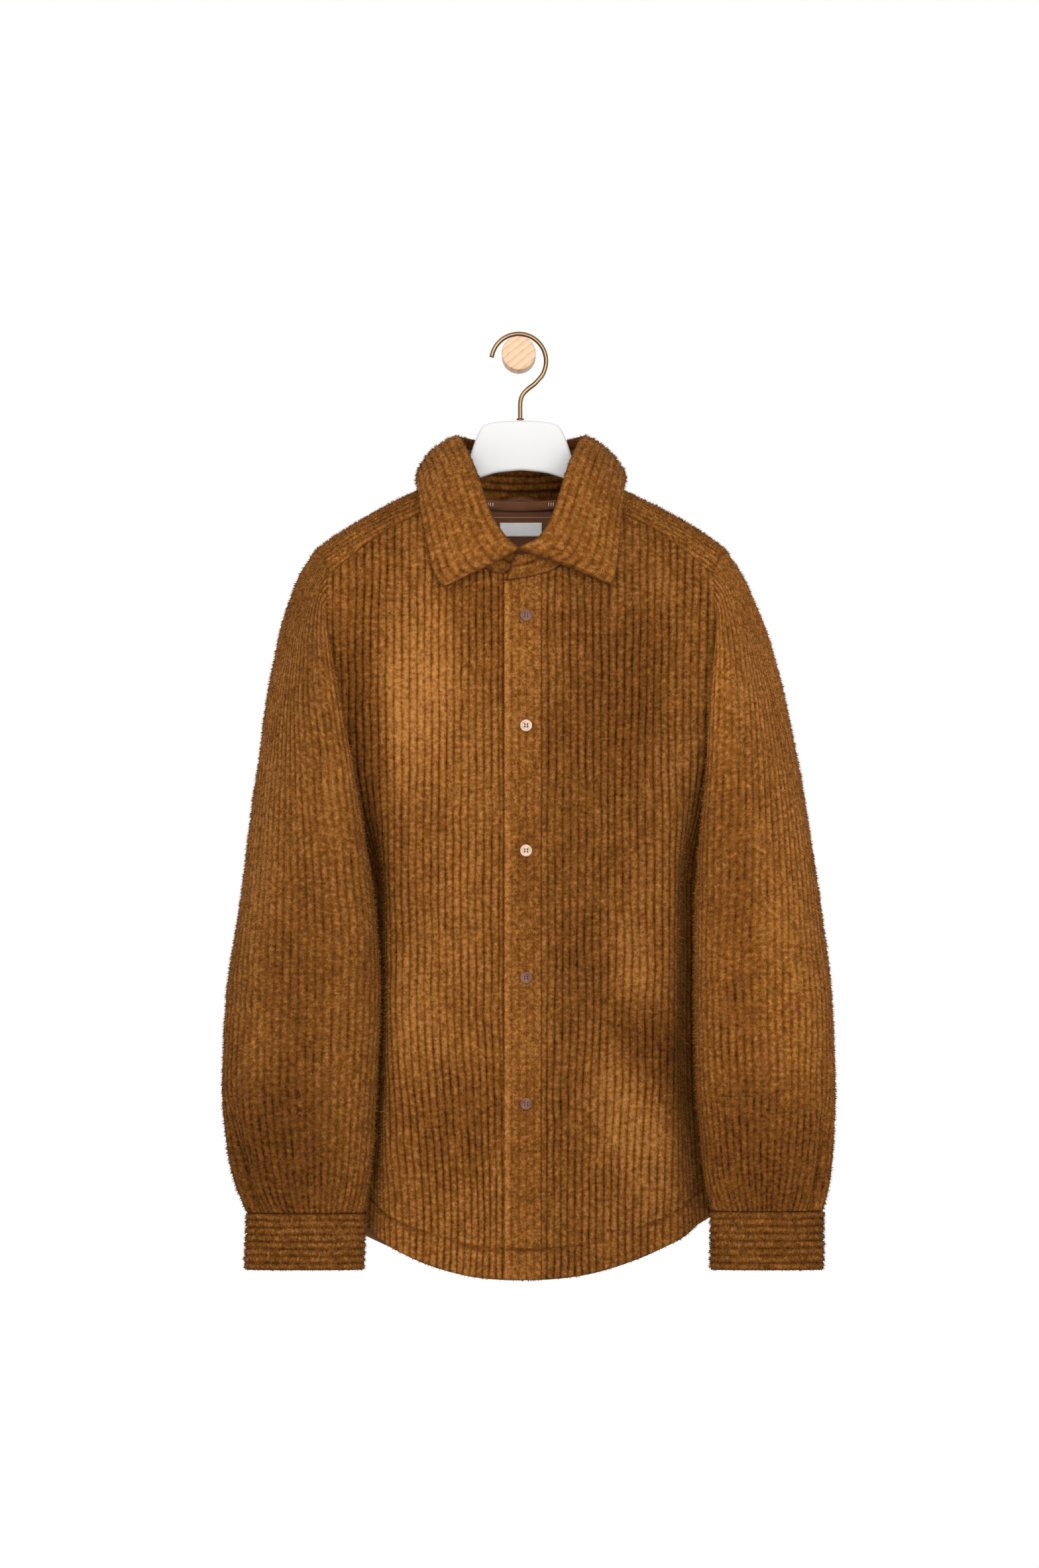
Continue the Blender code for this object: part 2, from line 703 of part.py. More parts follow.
def yoke_plan():
    """x and q of the yoke's grid, and which places lie on its cut front, neck or back edge."""
    station = yoke_stations()[:, None]
    seam_end = FRONT.point(YOKE_SEAM["s"][-1] / QUARTER, YOKE_SEAM["h"][-1])
    seam_q = float(-length_of(shoulder_height(seam_end[0]) - seam_end[2]))
    back_q = float(length_of(shoulder_height(YOKE_BACK_X) - BACK_YOKE_HEIGHT))
    q = np.arange(-72, 190, YOKE_PITCH / 2)[None, :]
    arm = hermite([seam_q, 0.45 * seam_q, 0, 0.6 * back_q, back_q],
                  [seam_end[0], 0.45 * seam_end[0] + 0.55 * YOKE_TIP_X, YOKE_TIP_X,
                   0.4 * YOKE_TIP_X + 0.6 * YOKE_BACK_X + 2.0, YOKE_BACK_X], q)
    pull = 1 + (arm / YOKE_TIP_X - 1) * smoothstep(100, YOKE_TIP_X, np.abs(station))
    for _ in range(4):
        x = station * pull
        near = yoke_front_edge(x)
        far = length_of(shoulder_height(x) - BACK_YOKE_HEIGHT)
        clamped = np.clip(q, near, far)
        arm = hermite([seam_q, 0.45 * seam_q, 0, 0.6 * back_q, back_q],
                      [seam_end[0], 0.45 * seam_end[0] + 0.55 * YOKE_TIP_X, YOKE_TIP_X,
                       0.4 * YOKE_TIP_X + 0.6 * YOKE_BACK_X + 2.0, YOKE_BACK_X], clamped)
        pull = 1 + (arm / YOKE_TIP_X - 1) * smoothstep(100, YOKE_TIP_X, np.abs(station))
    return x, clamped, (q <= near) | (q >= far)


def yoke_front_edge(x):
    """q of the yoke's edge at x: the front seam outside the neck, the neckline inside it."""
    s = np.linspace(YOKE_SEAM["s"][0], YOKE_SEAM["s"][-1], 60)
    seam = FRONT.point(s / QUARTER, hermite(YOKE_SEAM["s"], YOKE_SEAM["h"], s))
    seam_q = -length_of(shoulder_height(seam[:, 0]) - seam[:, 2])
    outside = np.interp(np.abs(x), seam[:, 0], seam_q)
    neck_q = np.sign(YOKE_NECK["drop"]) * length_of(np.abs(YOKE_NECK["drop"]))
    inside = np.interp(np.abs(x), YOKE_NECK["x"], neck_q)
    return np.where(np.abs(x) < seam[0, 0], inside, outside)


def make_yoke():
    """Yoke over both shoulders, ribs along the shoulder line; returns its base and normals."""
    x, q, cut = yoke_plan()
    base = shoulder_point(x, q)
    normal = shoulder_normal(x, q)
    rise = np.where(cut, 0.0, crests(x.shape[1])[None, :])
    outer = base + normal * rise[:, :, None]
    inner = base - normal * SKIN
    shared = kept_columns(inner, normal, PANEL_BOW)
    wall("yoke", fur(), outer, inner[:, shared], shared, merge=True)
    return base, normal


# ---------------------------------------------------------------- sleeves

def resample(points, count, rise_counts=1.0):
    """count places at even distances along an open line; heights count as told."""
    steps = np.diff(points, axis=0) * np.array([1.0, 1.0, rise_counts])
    run = np.concatenate([[0], np.cumsum(np.linalg.norm(steps, axis=1))])
    at = np.linspace(0, run[-1], count)
    return np.stack([np.interp(at, run, points[:, k]) for k in range(3)], axis=-1)


def armhole(front_edge, back_edge, yoke_end):
    """Armhole loop: from under the arm up the back, over the shoulder tip and down the front."""
    over = yoke_end[::-1]
    tip = int(np.argmax(over[:, 2]))
    fold = int(np.argmin(np.abs(front_edge[:, 2] - FOLD_HEIGHT)))
    parts = [np.vstack([back_edge, over[:tip + 1]]), np.vstack([over[tip:], front_edge[:fold + 1]]),
             np.vstack([front_edge[fold:], back_edge[:1]])]
    return np.vstack([resample(part, int(columns) + 1, RISE_COUNTS)[:-1]
                      for part, columns in zip(parts, RING_PARTS["columns"])])


def ring_ends(rings, k):
    places = np.arange(len(rings["oh"]))
    return [np.array([float(hermite(places, rings[end + axis], k)) for axis in "xyh"])
            for end in "oi"]


def sleeve_ring(rings, k):
    """Places round one ring, kept clear of the body, divided into columns part by part."""
    outer_end, inner_end = ring_ends(rings, k)
    depth = float(hermite(np.arange(len(rings["oh"])), rings["depth"], k))
    middle, reach = (outer_end + inner_end) / 2, (inner_end - outer_end) / 2
    parts = []
    for start, end, columns in zip(RING_PARTS["from"], RING_PARTS["to"], RING_PARTS["columns"]):
        angle = np.radians(np.linspace(start, end, 121))[:, None]
        along = np.sign(np.cos(angle)) * np.abs(np.cos(angle)) ** RING_SQUARE
        over = np.sign(np.sin(angle)) * np.abs(np.sin(angle)) ** RING_SQUARE
        line = middle + reach * along + np.array([0.0, depth, 0.0]) * over
        parts.append(resample(outside_body(line, body_clear(line)), int(columns) + 1)[:-1])
    return np.vstack(parts)


def body_clear(points):
    """How far the sleeve stays from the body: more where the body's side draws in fastest."""
    drawn_in = np.exp(-((points[:, 2] - DRAWN_IN_HEIGHT) / DRAWN_IN_REACH) ** 2)
    in_front = 1 - smoothstep(DRAWN_IN_FRONT, DRAWN_IN_BACK, points[:, 1])
    return BODY_CLEAR + DRAWN_IN_CLEAR * drawn_in * in_front


def outside_body(points, clear):
    """The points, those nearer than clear to the body's side moved straight out of its section."""
    moved = points.copy()
    for i, (x, y, h) in enumerate(points):
        row = np.clip((h - FRONT.heights[0]) / FRONT.STEP, 0, len(FRONT.heights) - 1.001)
        low, part = int(row), row - int(row)
        round_x, round_y = [
            np.concatenate([front[low] * (1 - part) + front[low + 1] * part,
                            (back[low] * (1 - part) + back[low + 1] * part)[-2:0:-1]])
            for front, back in ((FRONT.x, BACK.x), (FRONT.y, BACK.y))]
        round_y = round_y * shoulder_share(shoulder_height(round_x) - h)
        nearest = int(np.argmin((round_x - x) ** 2 + (round_y - y) ** 2))
        before, after = nearest - 1, (nearest + 1) % len(round_x)
        along = np.array([round_x[after] - round_x[before], round_y[after] - round_y[before]])
        out = np.array([along[1], -along[0]]) / (np.linalg.norm(along) + 1e-9)
        gap = out @ (np.array([x, y]) - np.array([round_x[nearest], round_y[nearest]]))
        if clear[i] > 0 and gap < clear[i] + CLEAR_REACH:
            wanted = (gap + clear[i] + math.hypot(gap - clear[i], CLEAR_SOFT)) / 2
            moved[i, :2] += out * (wanted - gap)
    return moved


def cap_rows(rings, edge, edge_normal, off, side):
    """Rows from the armhole down to the first ring, and how far each place must turn back."""
    columns = np.arange(len(edge))
    away, y, down, turn = [hermite(CAP_START["column"], CAP_START[name], columns)
                           for name in ("away", "y", "down", "turn")]
    turn = np.clip(turn, 0, 1)
    edge = edge + (edge_normal * RIB_RISE + off * TURN_GAP) * turn[:, None]
    first = sleeve_ring(rings, 0)
    after = sleeve_ring(rings, 0.2) - first
    after /= np.linalg.norm(after, axis=1, keepdims=True)
    way = np.linalg.norm(first - edge, axis=1, keepdims=True)
    start = np.stack([side * away, y, -down], axis=-1) * way
    rows = []
    for g in CAP_SHARES:
        row = (edge * (1 + 2 * g) * (1 - g) ** 2 + first * g * g * (3 - 2 * g)
               + start * g * (1 - g) ** 2 - after * way * g * g * (1 - g))
        for _ in range(CAP_SMOOTHING if g > 0 else 0):
            row = (np.roll(row, 1, axis=0) + 2 * row + np.roll(row, -1, axis=0)) / 4
        clear = body_clear(row) * np.maximum(turn, smoothstep(0.12, 0.45, g)) * smoothstep(0, 0.06, g)
        rows.append(outside_body(row, clear))
    return rows, turn


def tube_normals(base):
    """Outward normals of a closed tube's rows, each the mean of the faces around it."""
    ahead = np.roll(base, -1, axis=1)
    face = np.cross(ahead[1:] - base[:-1], base[1:] - ahead[:-1])
    face /= np.linalg.norm(face, axis=-1, keepdims=True)
    face = face + np.roll(face, 1, axis=1)
    normal = np.concatenate([face[:1], face[:-1] + face[1:], face[-1:]])
    normal /= np.linalg.norm(normal, axis=-1, keepdims=True)
    middle = base.mean(axis=1, keepdims=True)
    return normal * np.sign(np.sum(normal * (base - middle), axis=-1).mean())


def make_sleeve(name, rings, edge, edge_normal, off, side):
    """Sleeve from the armhole loop through its rings to the cuff seam; returns the last ring."""
    rows, turn = cap_rows(rings, edge, edge_normal, off, side)
    base = np.array(rows + [sleeve_ring(rings, k) for k in SLEEVE_ROWS])
    columns = base.shape[1]
    around = np.arange(columns) / columns
    middle = base.mean(axis=1, keepdims=True)
    pleat = np.exp(-((around - PLEAT_PLACE) / PLEAT_WIDTH) ** 2)[None, :, None]
    height = base[:, :, 2:3]
    start, end, share = PLEAT_CLOSES
    deep = smoothstep(PLEAT_TOP, PLEAT_FULL, height) * (1 - share * smoothstep(start, end, height))
    towards = (middle - base) * np.array([1.0, 1.0, 0.0])
    towards /= np.linalg.norm(towards, axis=-1, keepdims=True)
    base = base + towards * deep * pleat * PLEAT_DEPTH
    normal = tube_normals(base)
    normal = evened(normal, 2, axis=1)
    # The wall's end lies along the body's; where the sleeve folds back it halves the angle instead.
    fold = (1 - np.sum(normal[0] * edge_normal, axis=-1, keepdims=True)) / 2
    halved = (normal[0] - 0.8 * off * fold) * smoothstep(0.3, 0.7, fold)
    normal[0] = edge_normal + halved
    normal[-1, :, 2] = 0.0
    normal /= np.linalg.norm(normal, axis=-1, keepdims=True)
    rise = np.broadcast_to(crests(columns), base.shape[:2]).copy()
    rise[:3] *= np.array([0.0, 0.4, 0.8])[:, None]
    crease = np.exp(-((np.arange(columns) - CREASE_COLUMN) / CREASE_WIDTH) ** 2)
    rise[:len(CAP_SHARES) - 1] *= 1 - EASED * np.maximum(turn, crease)
    outer = base + normal * rise[:, :, None]
    skin = np.full(base.shape[:2], SKIN)
    skin[:len(CAP_SHARES)] *= 1 - THINNER * np.maximum(turn, crease)
    inner = base - normal * skin[:, :, None]
    shared = kept_columns(inner, normal, SLEEVE_BOW, loop=True)
    wall(name, fur(), outer, inner[:, shared], shared, loop=True)
    return base[-1]


def cuff_grid(cuff, seam):
    """Places of a cuff's stations and ribs: from the sleeve's last ring down to its own edge."""
    top = closed_resample(seam, CUFF_STATIONS) - np.array([0.0, 0.0, SEAM_GAP])
    reach = np.array([(cuff["ix"] - cuff["ox"]) / 2, 0.0, 0.0])
    middle = np.array([(cuff["ix"] + cuff["ox"]) / 2, cuff["y"], cuff["h"]])
    start = math.radians(RING_PARTS["from"][0])
    angle = start + np.linspace(0, 2 * math.pi, 241)[:, None]
    ring = middle + reach * np.cos(angle) + np.array([0.0, cuff["depth"], 0.0]) * np.sin(angle)
    bottom = closed_resample(ring[:-1], CUFF_STATIONS)
    v = np.linspace(0, 1, 2 * CUFF_RIBS + 1)[None, :, None]
    return top[:, None] * (1 - v) + bottom[:, None] * v


def closed_resample(loop, count):
    """Even places round a closed loop, starting at its first point."""
    return resample(np.vstack([loop, loop[:1]]), count + 1)[:-1]


def ring_wall(name, outer, inner, shared):
    """Wall whose fine columns run along a closed ring of stations."""
    stations, cols = outer.shape[:2]
    coarse = len(shared)

    def out(r, c):
        return (r % stations) * cols + c

    def inn(r, k):
        return stations * cols + (r % stations) * coarse + k

    faces = []
    for r in range(stations):
        for c in range(cols - 1):
            faces.append((out(r, c), out(r, c + 1), out(r + 1, c + 1), out(r + 1, c)))
        for k in range(coarse - 1):
            faces.append((inn(r, k), inn(r + 1, k), inn(r + 1, k + 1), inn(r, k + 1)))
        faces.append((out(r, 0), out(r + 1, 0), inn(r + 1, 0), inn(r, 0)))
        faces.append((out(r, cols - 1), inn(r, coarse - 1), inn(r + 1, coarse - 1),
                      out(r + 1, cols - 1)))
    points = np.vstack([outer.reshape(-1, 3), inner.reshape(-1, 3)])
    return add_solid(name, fur(), points, faces)


def make_cuffs(left_seam, right_seam):
    for name, cuff, seam in (("cuff_l", CUFF_L, left_seam), ("cuff_r", CUFF_R, right_seam)):
        base = cuff_grid(cuff, seam)
        middle = base.mean(axis=0, keepdims=True)
        around = np.roll(base, -1, axis=0) - np.roll(base, 1, axis=0)
        down = np.gradient(base, axis=1)
        normal = np.cross(around, down)
        normal[:, [0, -1], 2] = 0.0
        normal /= np.linalg.norm(normal, axis=-1, keepdims=True)
        normal *= np.sign(np.sum(normal * (base - middle), axis=-1).mean())
        outer = base + normal * crests(base.shape[1])[None, :, None]
        shared = every(base.shape[1], 4)
        inner = (base - normal * SKIN)[:, shared]
        ring_wall(name, outer, inner, shared)


def evened(directions, passes, axis=0):
    """Directions round a loop, each turned towards its neighbours."""
    for _ in range(passes):
        sides = np.roll(directions, 1, axis=axis) + np.roll(directions, -1, axis=axis)
        directions = sides + 2 * directions
        directions /= np.linalg.norm(directions, axis=-1, keepdims=True)
    return directions


def make_sleeve_at(side, name, rings, edges):
    """Collect one armhole's edge and its normals, step off it by the seam gap, add the sleeve."""
    (front, back, yoke), (front_n, back_n, yoke_n) = edges
    cut_front = [k for k in range(len(front)) if side * front[k, 0] > 100 and front[k, 2] < 667.0]
    cut_back = [k for k in range(len(back)) if side * back[k, 0] > 100 and back[k, 2] < 651.6]
    order_f = cut_front if side < 0 else cut_front[::-1]
    order_b = cut_back if side < 0 else cut_back[::-1]
    line_f, line_b = front[order_f][::-1], back[order_b]
    normal_f, normal_b = front_n[order_f][::-1], back_n[order_b]
    loop = armhole(line_f, line_b, yoke)
    everything = np.vstack([line_b, yoke[::-1], line_f])
    normals = np.vstack([normal_b, yoke_n[::-1], normal_f])
    nearest = [int(np.argmin(np.linalg.norm(everything - p, axis=1))) for p in loop]
    edge_normal = normals[nearest]
    around = np.roll(loop, -1, axis=0) - np.roll(loop, 1, axis=0)
    off = np.cross(around, edge_normal)
    off /= np.linalg.norm(off, axis=-1, keepdims=True)
    off *= np.where(np.sum(off * (loop.mean(axis=0) - loop), axis=-1, keepdims=True) < 0, -1, 1)
    off, edge_normal = evened(off, 2), evened(edge_normal, 2)
    return make_sleeve(name, rings, loop + off * SLEEVE_GAP, edge_normal, off, side)


def make_sleeves(left, left_n, right, right_n, back, back_n, yoke, yoke_n):
    """Both sleeves and cuffs, sewn to the upper edges of the fronts, the back and the yoke."""
    seams = []
    for side, name, rings in ((-1, "sleeve_l", SLEEVE_L), (1, "sleeve_r", SLEEVE_R)):
        front, front_n = (left, left_n) if side < 0 else (right, right_n)
        edges = []
        for part_f, part_b, part_y in ((front, back, yoke), (front_n, back_n, yoke_n)):
            edges.append((part_f[-1], part_b[-1], part_y[0] if side < 0 else part_y[-1]))
        seams.append(make_sleeve_at(side, name, rings, edges))
    make_cuffs(*seams)


# ---------------------------------------------------------------- collar

def collar_lines(stations):
    """Stand foot, roll line, leaf edge and bulge at even steps round the collar."""
    rows = np.arange(len(COLLAR["nx"]))
    at = np.linspace(0, rows[-1], stations)

    def line(names):
        return np.stack([hermite(rows, COLLAR[name], at) for name in names], axis=-1)

    foot = line(("nx", "ny", "nh"))
    roll = line(("rx", "ry", "rh"))
    edge_x = hermite(rows, COLLAR["ex"], at)
    drop = hermite(rows, COLLAR["drop"], at)
    q = np.sign(drop) * length_of(np.abs(drop))
    edge = shoulder_point(edge_x, q) + shoulder_normal(edge_x, q) * line(("lift",))
    return foot, roll, edge, hermite(rows, COLLAR["bulge"], at)


def make_leaf():
    """Collar leaf from the roll line over to its edge; ribs run along it."""
    _, roll, edge, bulge = collar_lines(COLLAR_STATIONS)
    chord = edge - roll
    along = np.gradient(roll + edge, axis=0)
    away = np.cross(along, chord)
    away /= np.linalg.norm(away, axis=-1, keepdims=True)
    centre = np.array([0.0, 0.0, COLLAR_MIDDLE])
    away *= np.where(np.sum(away * (roll - centre), axis=-1, keepdims=True) < 0, -1, 1)
    v = np.linspace(0, 1, 2 * COLLAR_RIBS + 1)[None, :, None]
    hump = (4 * v * (1 - v)) ** LEAF_FULLNESS
    base = roll[:, None] + chord[:, None] * v + away[:, None] * bulge[:, None, None] * hump
    normal = np.cross(np.gradient(base, axis=0), np.gradient(base, axis=1))
    normal /= np.linalg.norm(normal, axis=-1, keepdims=True)
    normal *= np.where(np.sum(normal * away[:, None], axis=-1, keepdims=True) < 0, -1, 1)
    soft = np.ones(base.shape[1])
    soft[0] = soft[-1] = LEAF_EDGE_SHARE
    up = (LEAF_UP * soft + crests(base.shape[1]) * LEAF_RIB_SHARE)[None, :, None]
    outer = base + normal * up
    shared = every(base.shape[1], 3)
    inner = (base - normal * (LEAF_DOWN * soft)[None, :, None])[:, shared]
    wall("collar_leaf", fur(), outer, inner, shared)


def make_stand():
    """Collar stand from its foot up to the leaf's roll, ribbed on the side that faces the neck."""
    foot, roll, _, _ = collar_lines(COLLAR_STATIONS)
    up = roll - foot
    height = np.linalg.norm(up, axis=-1, keepdims=True)
    top = roll - up / height * ROLL_DEPTH
    v = np.linspace(0, 1, 2 * STAND_RIBS + 1)[None, :, None]
    base = foot[:, None] + (top - foot)[:, None] * v
    normal = np.cross(np.gradient(base, axis=0), np.gradient(base, axis=1))
    normal /= np.linalg.norm(normal, axis=-1, keepdims=True)
    inward = -base * np.array([1.0, 1.0, 0.0])
    normal *= np.where(np.sum(normal * inward, axis=-1, keepdims=True) < 0, -1, 1)
    rise = STAND_HALF + STAND_RIB_RISE * (np.arange(base.shape[1]) % 2)
    outer = base + normal * rise[None, :, None]
    shared = every(base.shape[1], 5)
    inner = (base - normal * STAND_HALF)[:, shared]
    wall("collar_stand", fur(), outer, inner, shared)


# ---------------------------------------------------------------- inside the back neck

def strip_points(x, h, depth_off):
    """Places that lie depth_off inside the back's inner surface, past the seam gap."""
    x, h = np.broadcast_arrays(x, h)
    drop = shoulder_height(x) - h
    y = BACK.depth_at(x, h) * shoulder_share(drop) - (SKIN + SEAM_GAP + depth_off)
    return np.stack([x, y, h], axis=-1)


def make_neck_trim():
    """Smooth facing inside the back neck, the bare label on it and the hanging loop over it."""
    suede = make_material("suede", (0.13, 0.052, 0.026), 0.85)
    x = np.array([-FACING_HALF, -40.0, -30.0, -20.0, -10.0, 0.0, 10.0, 20.0, 30.0, 40.0, FACING_HALF])
    h = np.linspace(FACING_BOTTOM, FACING_TOP, 4)[:, None]
    near, far = [strip_points(x, h, depth) for depth in FACING_DEPTHS]
    wall("neck_facing", suede, near, far, list(range(len(x))))
    x = np.linspace(-LABEL_WIDTH / 2, LABEL_WIDTH / 2, 5)
    h = np.linspace(LABEL_TOP - LABEL_DROP, LABEL_TOP, 2)[:, None]
    near, far = [strip_points(x, h, depth) for depth in LABEL_DEPTHS]
    white = make_material("label_cloth", (0.86, 0.86, 0.85), 0.7)
    wall("neck_label", white, near, far, list(range(5)))
    x = np.linspace(-LOOP_HALF, LOOP_HALF, 9)
    sag = LOOP_SAG * (1 - (x / LOOP_HALF) ** 2)
    middle = strip_points(x, LOOP_HEIGHT - sag, LOOP_DEPTH)
    angle = np.linspace(0, 2 * math.pi, 9)[:-1]
    section = np.stack([0 * angle, LOOP_HALF_THICK * np.cos(angle), LOOP_HALF_HIGH * np.sin(angle)],
                       axis=-1)
    rope = middle[:, None] + section[None]
    capped_tube("hanger_loop", suede, rope)


def capped_tube(name, material, rings):
    count, sides = rings.shape[:2]
    faces = [tuple(range(sides)), tuple((count - 1) * sides + s for s in range(sides))]
    for r in range(count - 1):
        for s in range(sides):
            t = (s + 1) % sides
            faces.append((r * sides + s, r * sides + t, (r + 1) * sides + t, (r + 1) * sides + s))
    return add_solid(name, material, rings.reshape(-1, 3), faces)


# ---------------------------------------------------------------- buttons, hanger, hook and peg

def make_buttons():
    """Four-hole shirt buttons lying on the placket: rim, dished middle and flat back."""
    horn = make_material("button_horn", (0.30, 0.15, 0.10), 0.35)
    sides = 8
    profile = [(0.0, 0.0), (BUTTON_RADIUS - 0.6, 0.0), (BUTTON_RADIUS, 1.0),
               (BUTTON_RADIUS - 0.5, BUTTON_THICK), (BUTTON_RADIUS - 1.6, BUTTON_THICK),
               (BUTTON_RADIUS - 2.4, BUTTON_THICK - 0.8)]
    angle = np.arange(sides) * 2 * math.pi / sides
    for number, height in enumerate(BUTTON_HEIGHTS, 1):
        lie_on = FRONT.point(BUTTON_X / QUARTER, height)[1] - RIB_RISE - PLACKET_PROUD - SEAM_GAP
        rings = [np.stack([BUTTON_X + r * np.cos(angle), lie_on - out + 0 * angle,
                           height + r * np.sin(angle)], axis=-1) for r, out in profile[1:]]
        capped_tube(f"button_{number}", horn, np.array(rings))


def board_outline():
    """Half of the hanger's outline, from the top centre over the arm to the arch underneath."""
    upper = [(0.0, BOARD_TOP), (22.0, BOARD_TOP - 1.0), (36.0, BOARD_TOP - 4.0), (42.0, 800.0),
             (48.5, 781.0), (55.0, 768.0), (63.0, 755.0), (74.0, 744.0)]
    arm_x = np.linspace(88.0, ARM_END_X, 6)
    arm = [(x, float(shoulder_height(x)) - ARM_CLEAR) for x in arm_x]
    end = arm[-1]
    tip = [(end[0] + 4.0, end[1] - 8.0), (end[0] + 2.0, end[1] - ARM_DEPTH + 4.0),
           (end[0] - 6.0, end[1] - ARM_DEPTH)]
    under = [(150.0, float(shoulder_height(150.0)) - ARM_CLEAR - 34.0), (110.0, 698.0), (75.0, 731.0),
             (46.0, 758.0), (24.0, 765.0), (0.0, 767.5)]
    return upper + arm + tip + under


def make_board():
    """Flat hanger: its outline, mirrored and given its thickness, with eased edges."""
    half = board_outline()
    outline = half + [(-x, h) for x, h in half[-2:0:-1]]
    white = make_material("hanger_white", (0.84, 0.84, 0.82), 0.45)
    count = len(outline)
    front = [(x, -BOARD_THICK / 2, h) for x, h in outline]
    back = [(x, BOARD_THICK / 2, h) for x, h in outline]
    faces = [tuple(range(count)), tuple(range(count, 2 * count))]
    faces += [(k, (k + 1) % count, count + (k + 1) % count, count + k) for k in range(count)]
    board = add_solid("hanger_board", white, front + back, faces)
    bevel = board.modifiers.new("eased_edges", "BEVEL")
    bevel.width = BOARD_EASE * MM
    bevel.segments = 1
    bevel.limit_method = "ANGLE"
    bevel.angle_limit = math.radians(60)


def make_hook():
    """Wire hook: an arc over the peg, a slanting run to the neck, and a straight shank."""
    turn = np.radians(np.linspace(172, -34, 20))
    route = [(PEG_X + HOOK_RADIUS * math.cos(a), HOOK_HEIGHT + HOOK_RADIUS * math.sin(a)) for a in turn]
    route += [(13.5, 850.0), (6.5, 844.5), (2.2, 840.0), (0.0, 835.0), (-0.6, 829.0),
              (-0.6, BOARD_TOP + SEAM_GAP)]
    curve = bpy.data.curves.new("hanger_hook", "CURVE")
    curve.dimensions = "3D"
    curve.bevel_depth = WIRE_RADIUS * MM
    curve.bevel_resolution = 1
    curve.use_fill_caps = True
    spline = curve.splines.new("POLY")
    spline.points.add(len(route) - 1)
    for point, (x, h) in zip(spline.points, route):
        point.co = (x * MM, 0.0, h * MM, 1.0)
    brass = make_material("aged_brass", (0.33, 0.25, 0.13), 0.35, 1.0)
    curve.materials.append(brass)
    hook = bpy.data.objects.new("hanger_hook", curve)
    bpy.context.scene.collection.objects.link(hook)


def make_peg():
    """Round wooden peg from the wall to just in front of the hook, with an eased front edge."""
    wood = make_material("peg_wood", (0.72, 0.50, 0.33), 0.55)
    angle = np.arange(28) * 2 * math.pi / 28
    profile = [(PEG_RADIUS, WALL_Y), (PEG_RADIUS, PEG_FRONT_Y + 1.5), (PEG_RADIUS - 1.5, PEG_FRONT_Y)]
    rings = [np.stack([PEG_X + r * np.cos(angle), y + 0 * angle, PEG_HEIGHT + r * np.sin(angle)],
                      axis=-1) for r, y in profile]
    capped_tube("wall_peg", wood, np.array(rings))


def clear_scene():
    for thing in list(bpy.data.objects):
        bpy.data.objects.remove(thing, do_unlink=True)


def build():
    """Make every piece, then hang all of them on one empty."""
    clear_scene()
    (left, left_n), (right, right_n) = make_fronts()
    make_placket()
    back, back_n = make_back()
    yoke, yoke_n = make_yoke()
    make_sleeves(left, left_n, right, right_n, back, back_n, yoke, yoke_n)
    make_leaf()
    make_stand()
    make_neck_trim()
    make_buttons()
    make_board()
    make_hook()
    make_peg()
    garment = bpy.data.objects.new("garment", None)
    garment.location = (-PEG_X * MM, -WALL_Y * MM, -PEG_HEIGHT * MM)
    for piece in bpy.context.scene.objects:
        piece.parent = garment
    bpy.context.scene.collection.objects.link(garment)


build()
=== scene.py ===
"""Looks of a ribbed shearling overshirt on a flat hanger, hooked over a round wooden wall peg.

Sizes are in millimetres in the garment's own frame: X to the viewer's right, Y to the wall, heights
from the hem's lowest point.  to_frame() turns them into the model's metres.  The cloth follows the
same sections, seams and rings as the solids, cut finely enough for round ribs, and carries fine tufts.
"""

import math

import bmesh
import bpy
import numpy as np
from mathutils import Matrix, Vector


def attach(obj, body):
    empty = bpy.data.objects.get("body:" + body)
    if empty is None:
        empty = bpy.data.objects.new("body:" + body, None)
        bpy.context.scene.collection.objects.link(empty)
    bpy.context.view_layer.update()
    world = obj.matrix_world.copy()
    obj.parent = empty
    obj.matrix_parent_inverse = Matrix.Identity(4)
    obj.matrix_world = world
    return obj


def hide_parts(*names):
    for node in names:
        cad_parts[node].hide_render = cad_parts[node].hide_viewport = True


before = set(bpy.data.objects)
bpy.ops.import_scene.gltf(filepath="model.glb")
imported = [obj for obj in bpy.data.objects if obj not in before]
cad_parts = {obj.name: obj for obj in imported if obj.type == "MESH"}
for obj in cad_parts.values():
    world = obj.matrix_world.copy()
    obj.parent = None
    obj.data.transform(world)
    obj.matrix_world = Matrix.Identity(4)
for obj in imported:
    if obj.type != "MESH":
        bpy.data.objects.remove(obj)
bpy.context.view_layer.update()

# The photograph's scale and place, and the light.
IMAGE_WIDTH, IMAGE_HEIGHT = 1568, 2367
MM_PER_PIXEL = 0.625
CENTRE_PIXEL = 786.0     # the pixel column of the garment's centre line
HEM_PIXEL = 1935.0       # the pixel row of its lowest point
CAMERA_AWAY = 12000.0
FRONT_Y = -80.0
SURROUND = 1.0
KEY_POWER = 30.0
FRONT_POWER = 58.0
FLOOR_Z = -1.30

# The fine cloth.
FINE_RIBS = 38           # ribs over the nominal width of one front or half back
FINE_PITCH = 7.05
RIB_COLUMNS = 5
ROW_STEP = 4.2
SLEEVE_RIBS = 54
CUFF_PLACES = 190
LEAF_PLACES = 260
RIB_FULLNESS = 0.42      # under 1, ribs are broad and grooves narrow
RISE = 2.0               # a rib's pile over the groove
FELT = 0.9               # the groove's own pile, over the skin
HEM_SEAM = 29.0          # the hem's stitch line over the edge
FOOT_LAP = 7.0           # the stand's foot reaches this far down behind the fronts
SEAM_LAP = 1.2           # pile reaches this far over a seam, so that no seam gapes
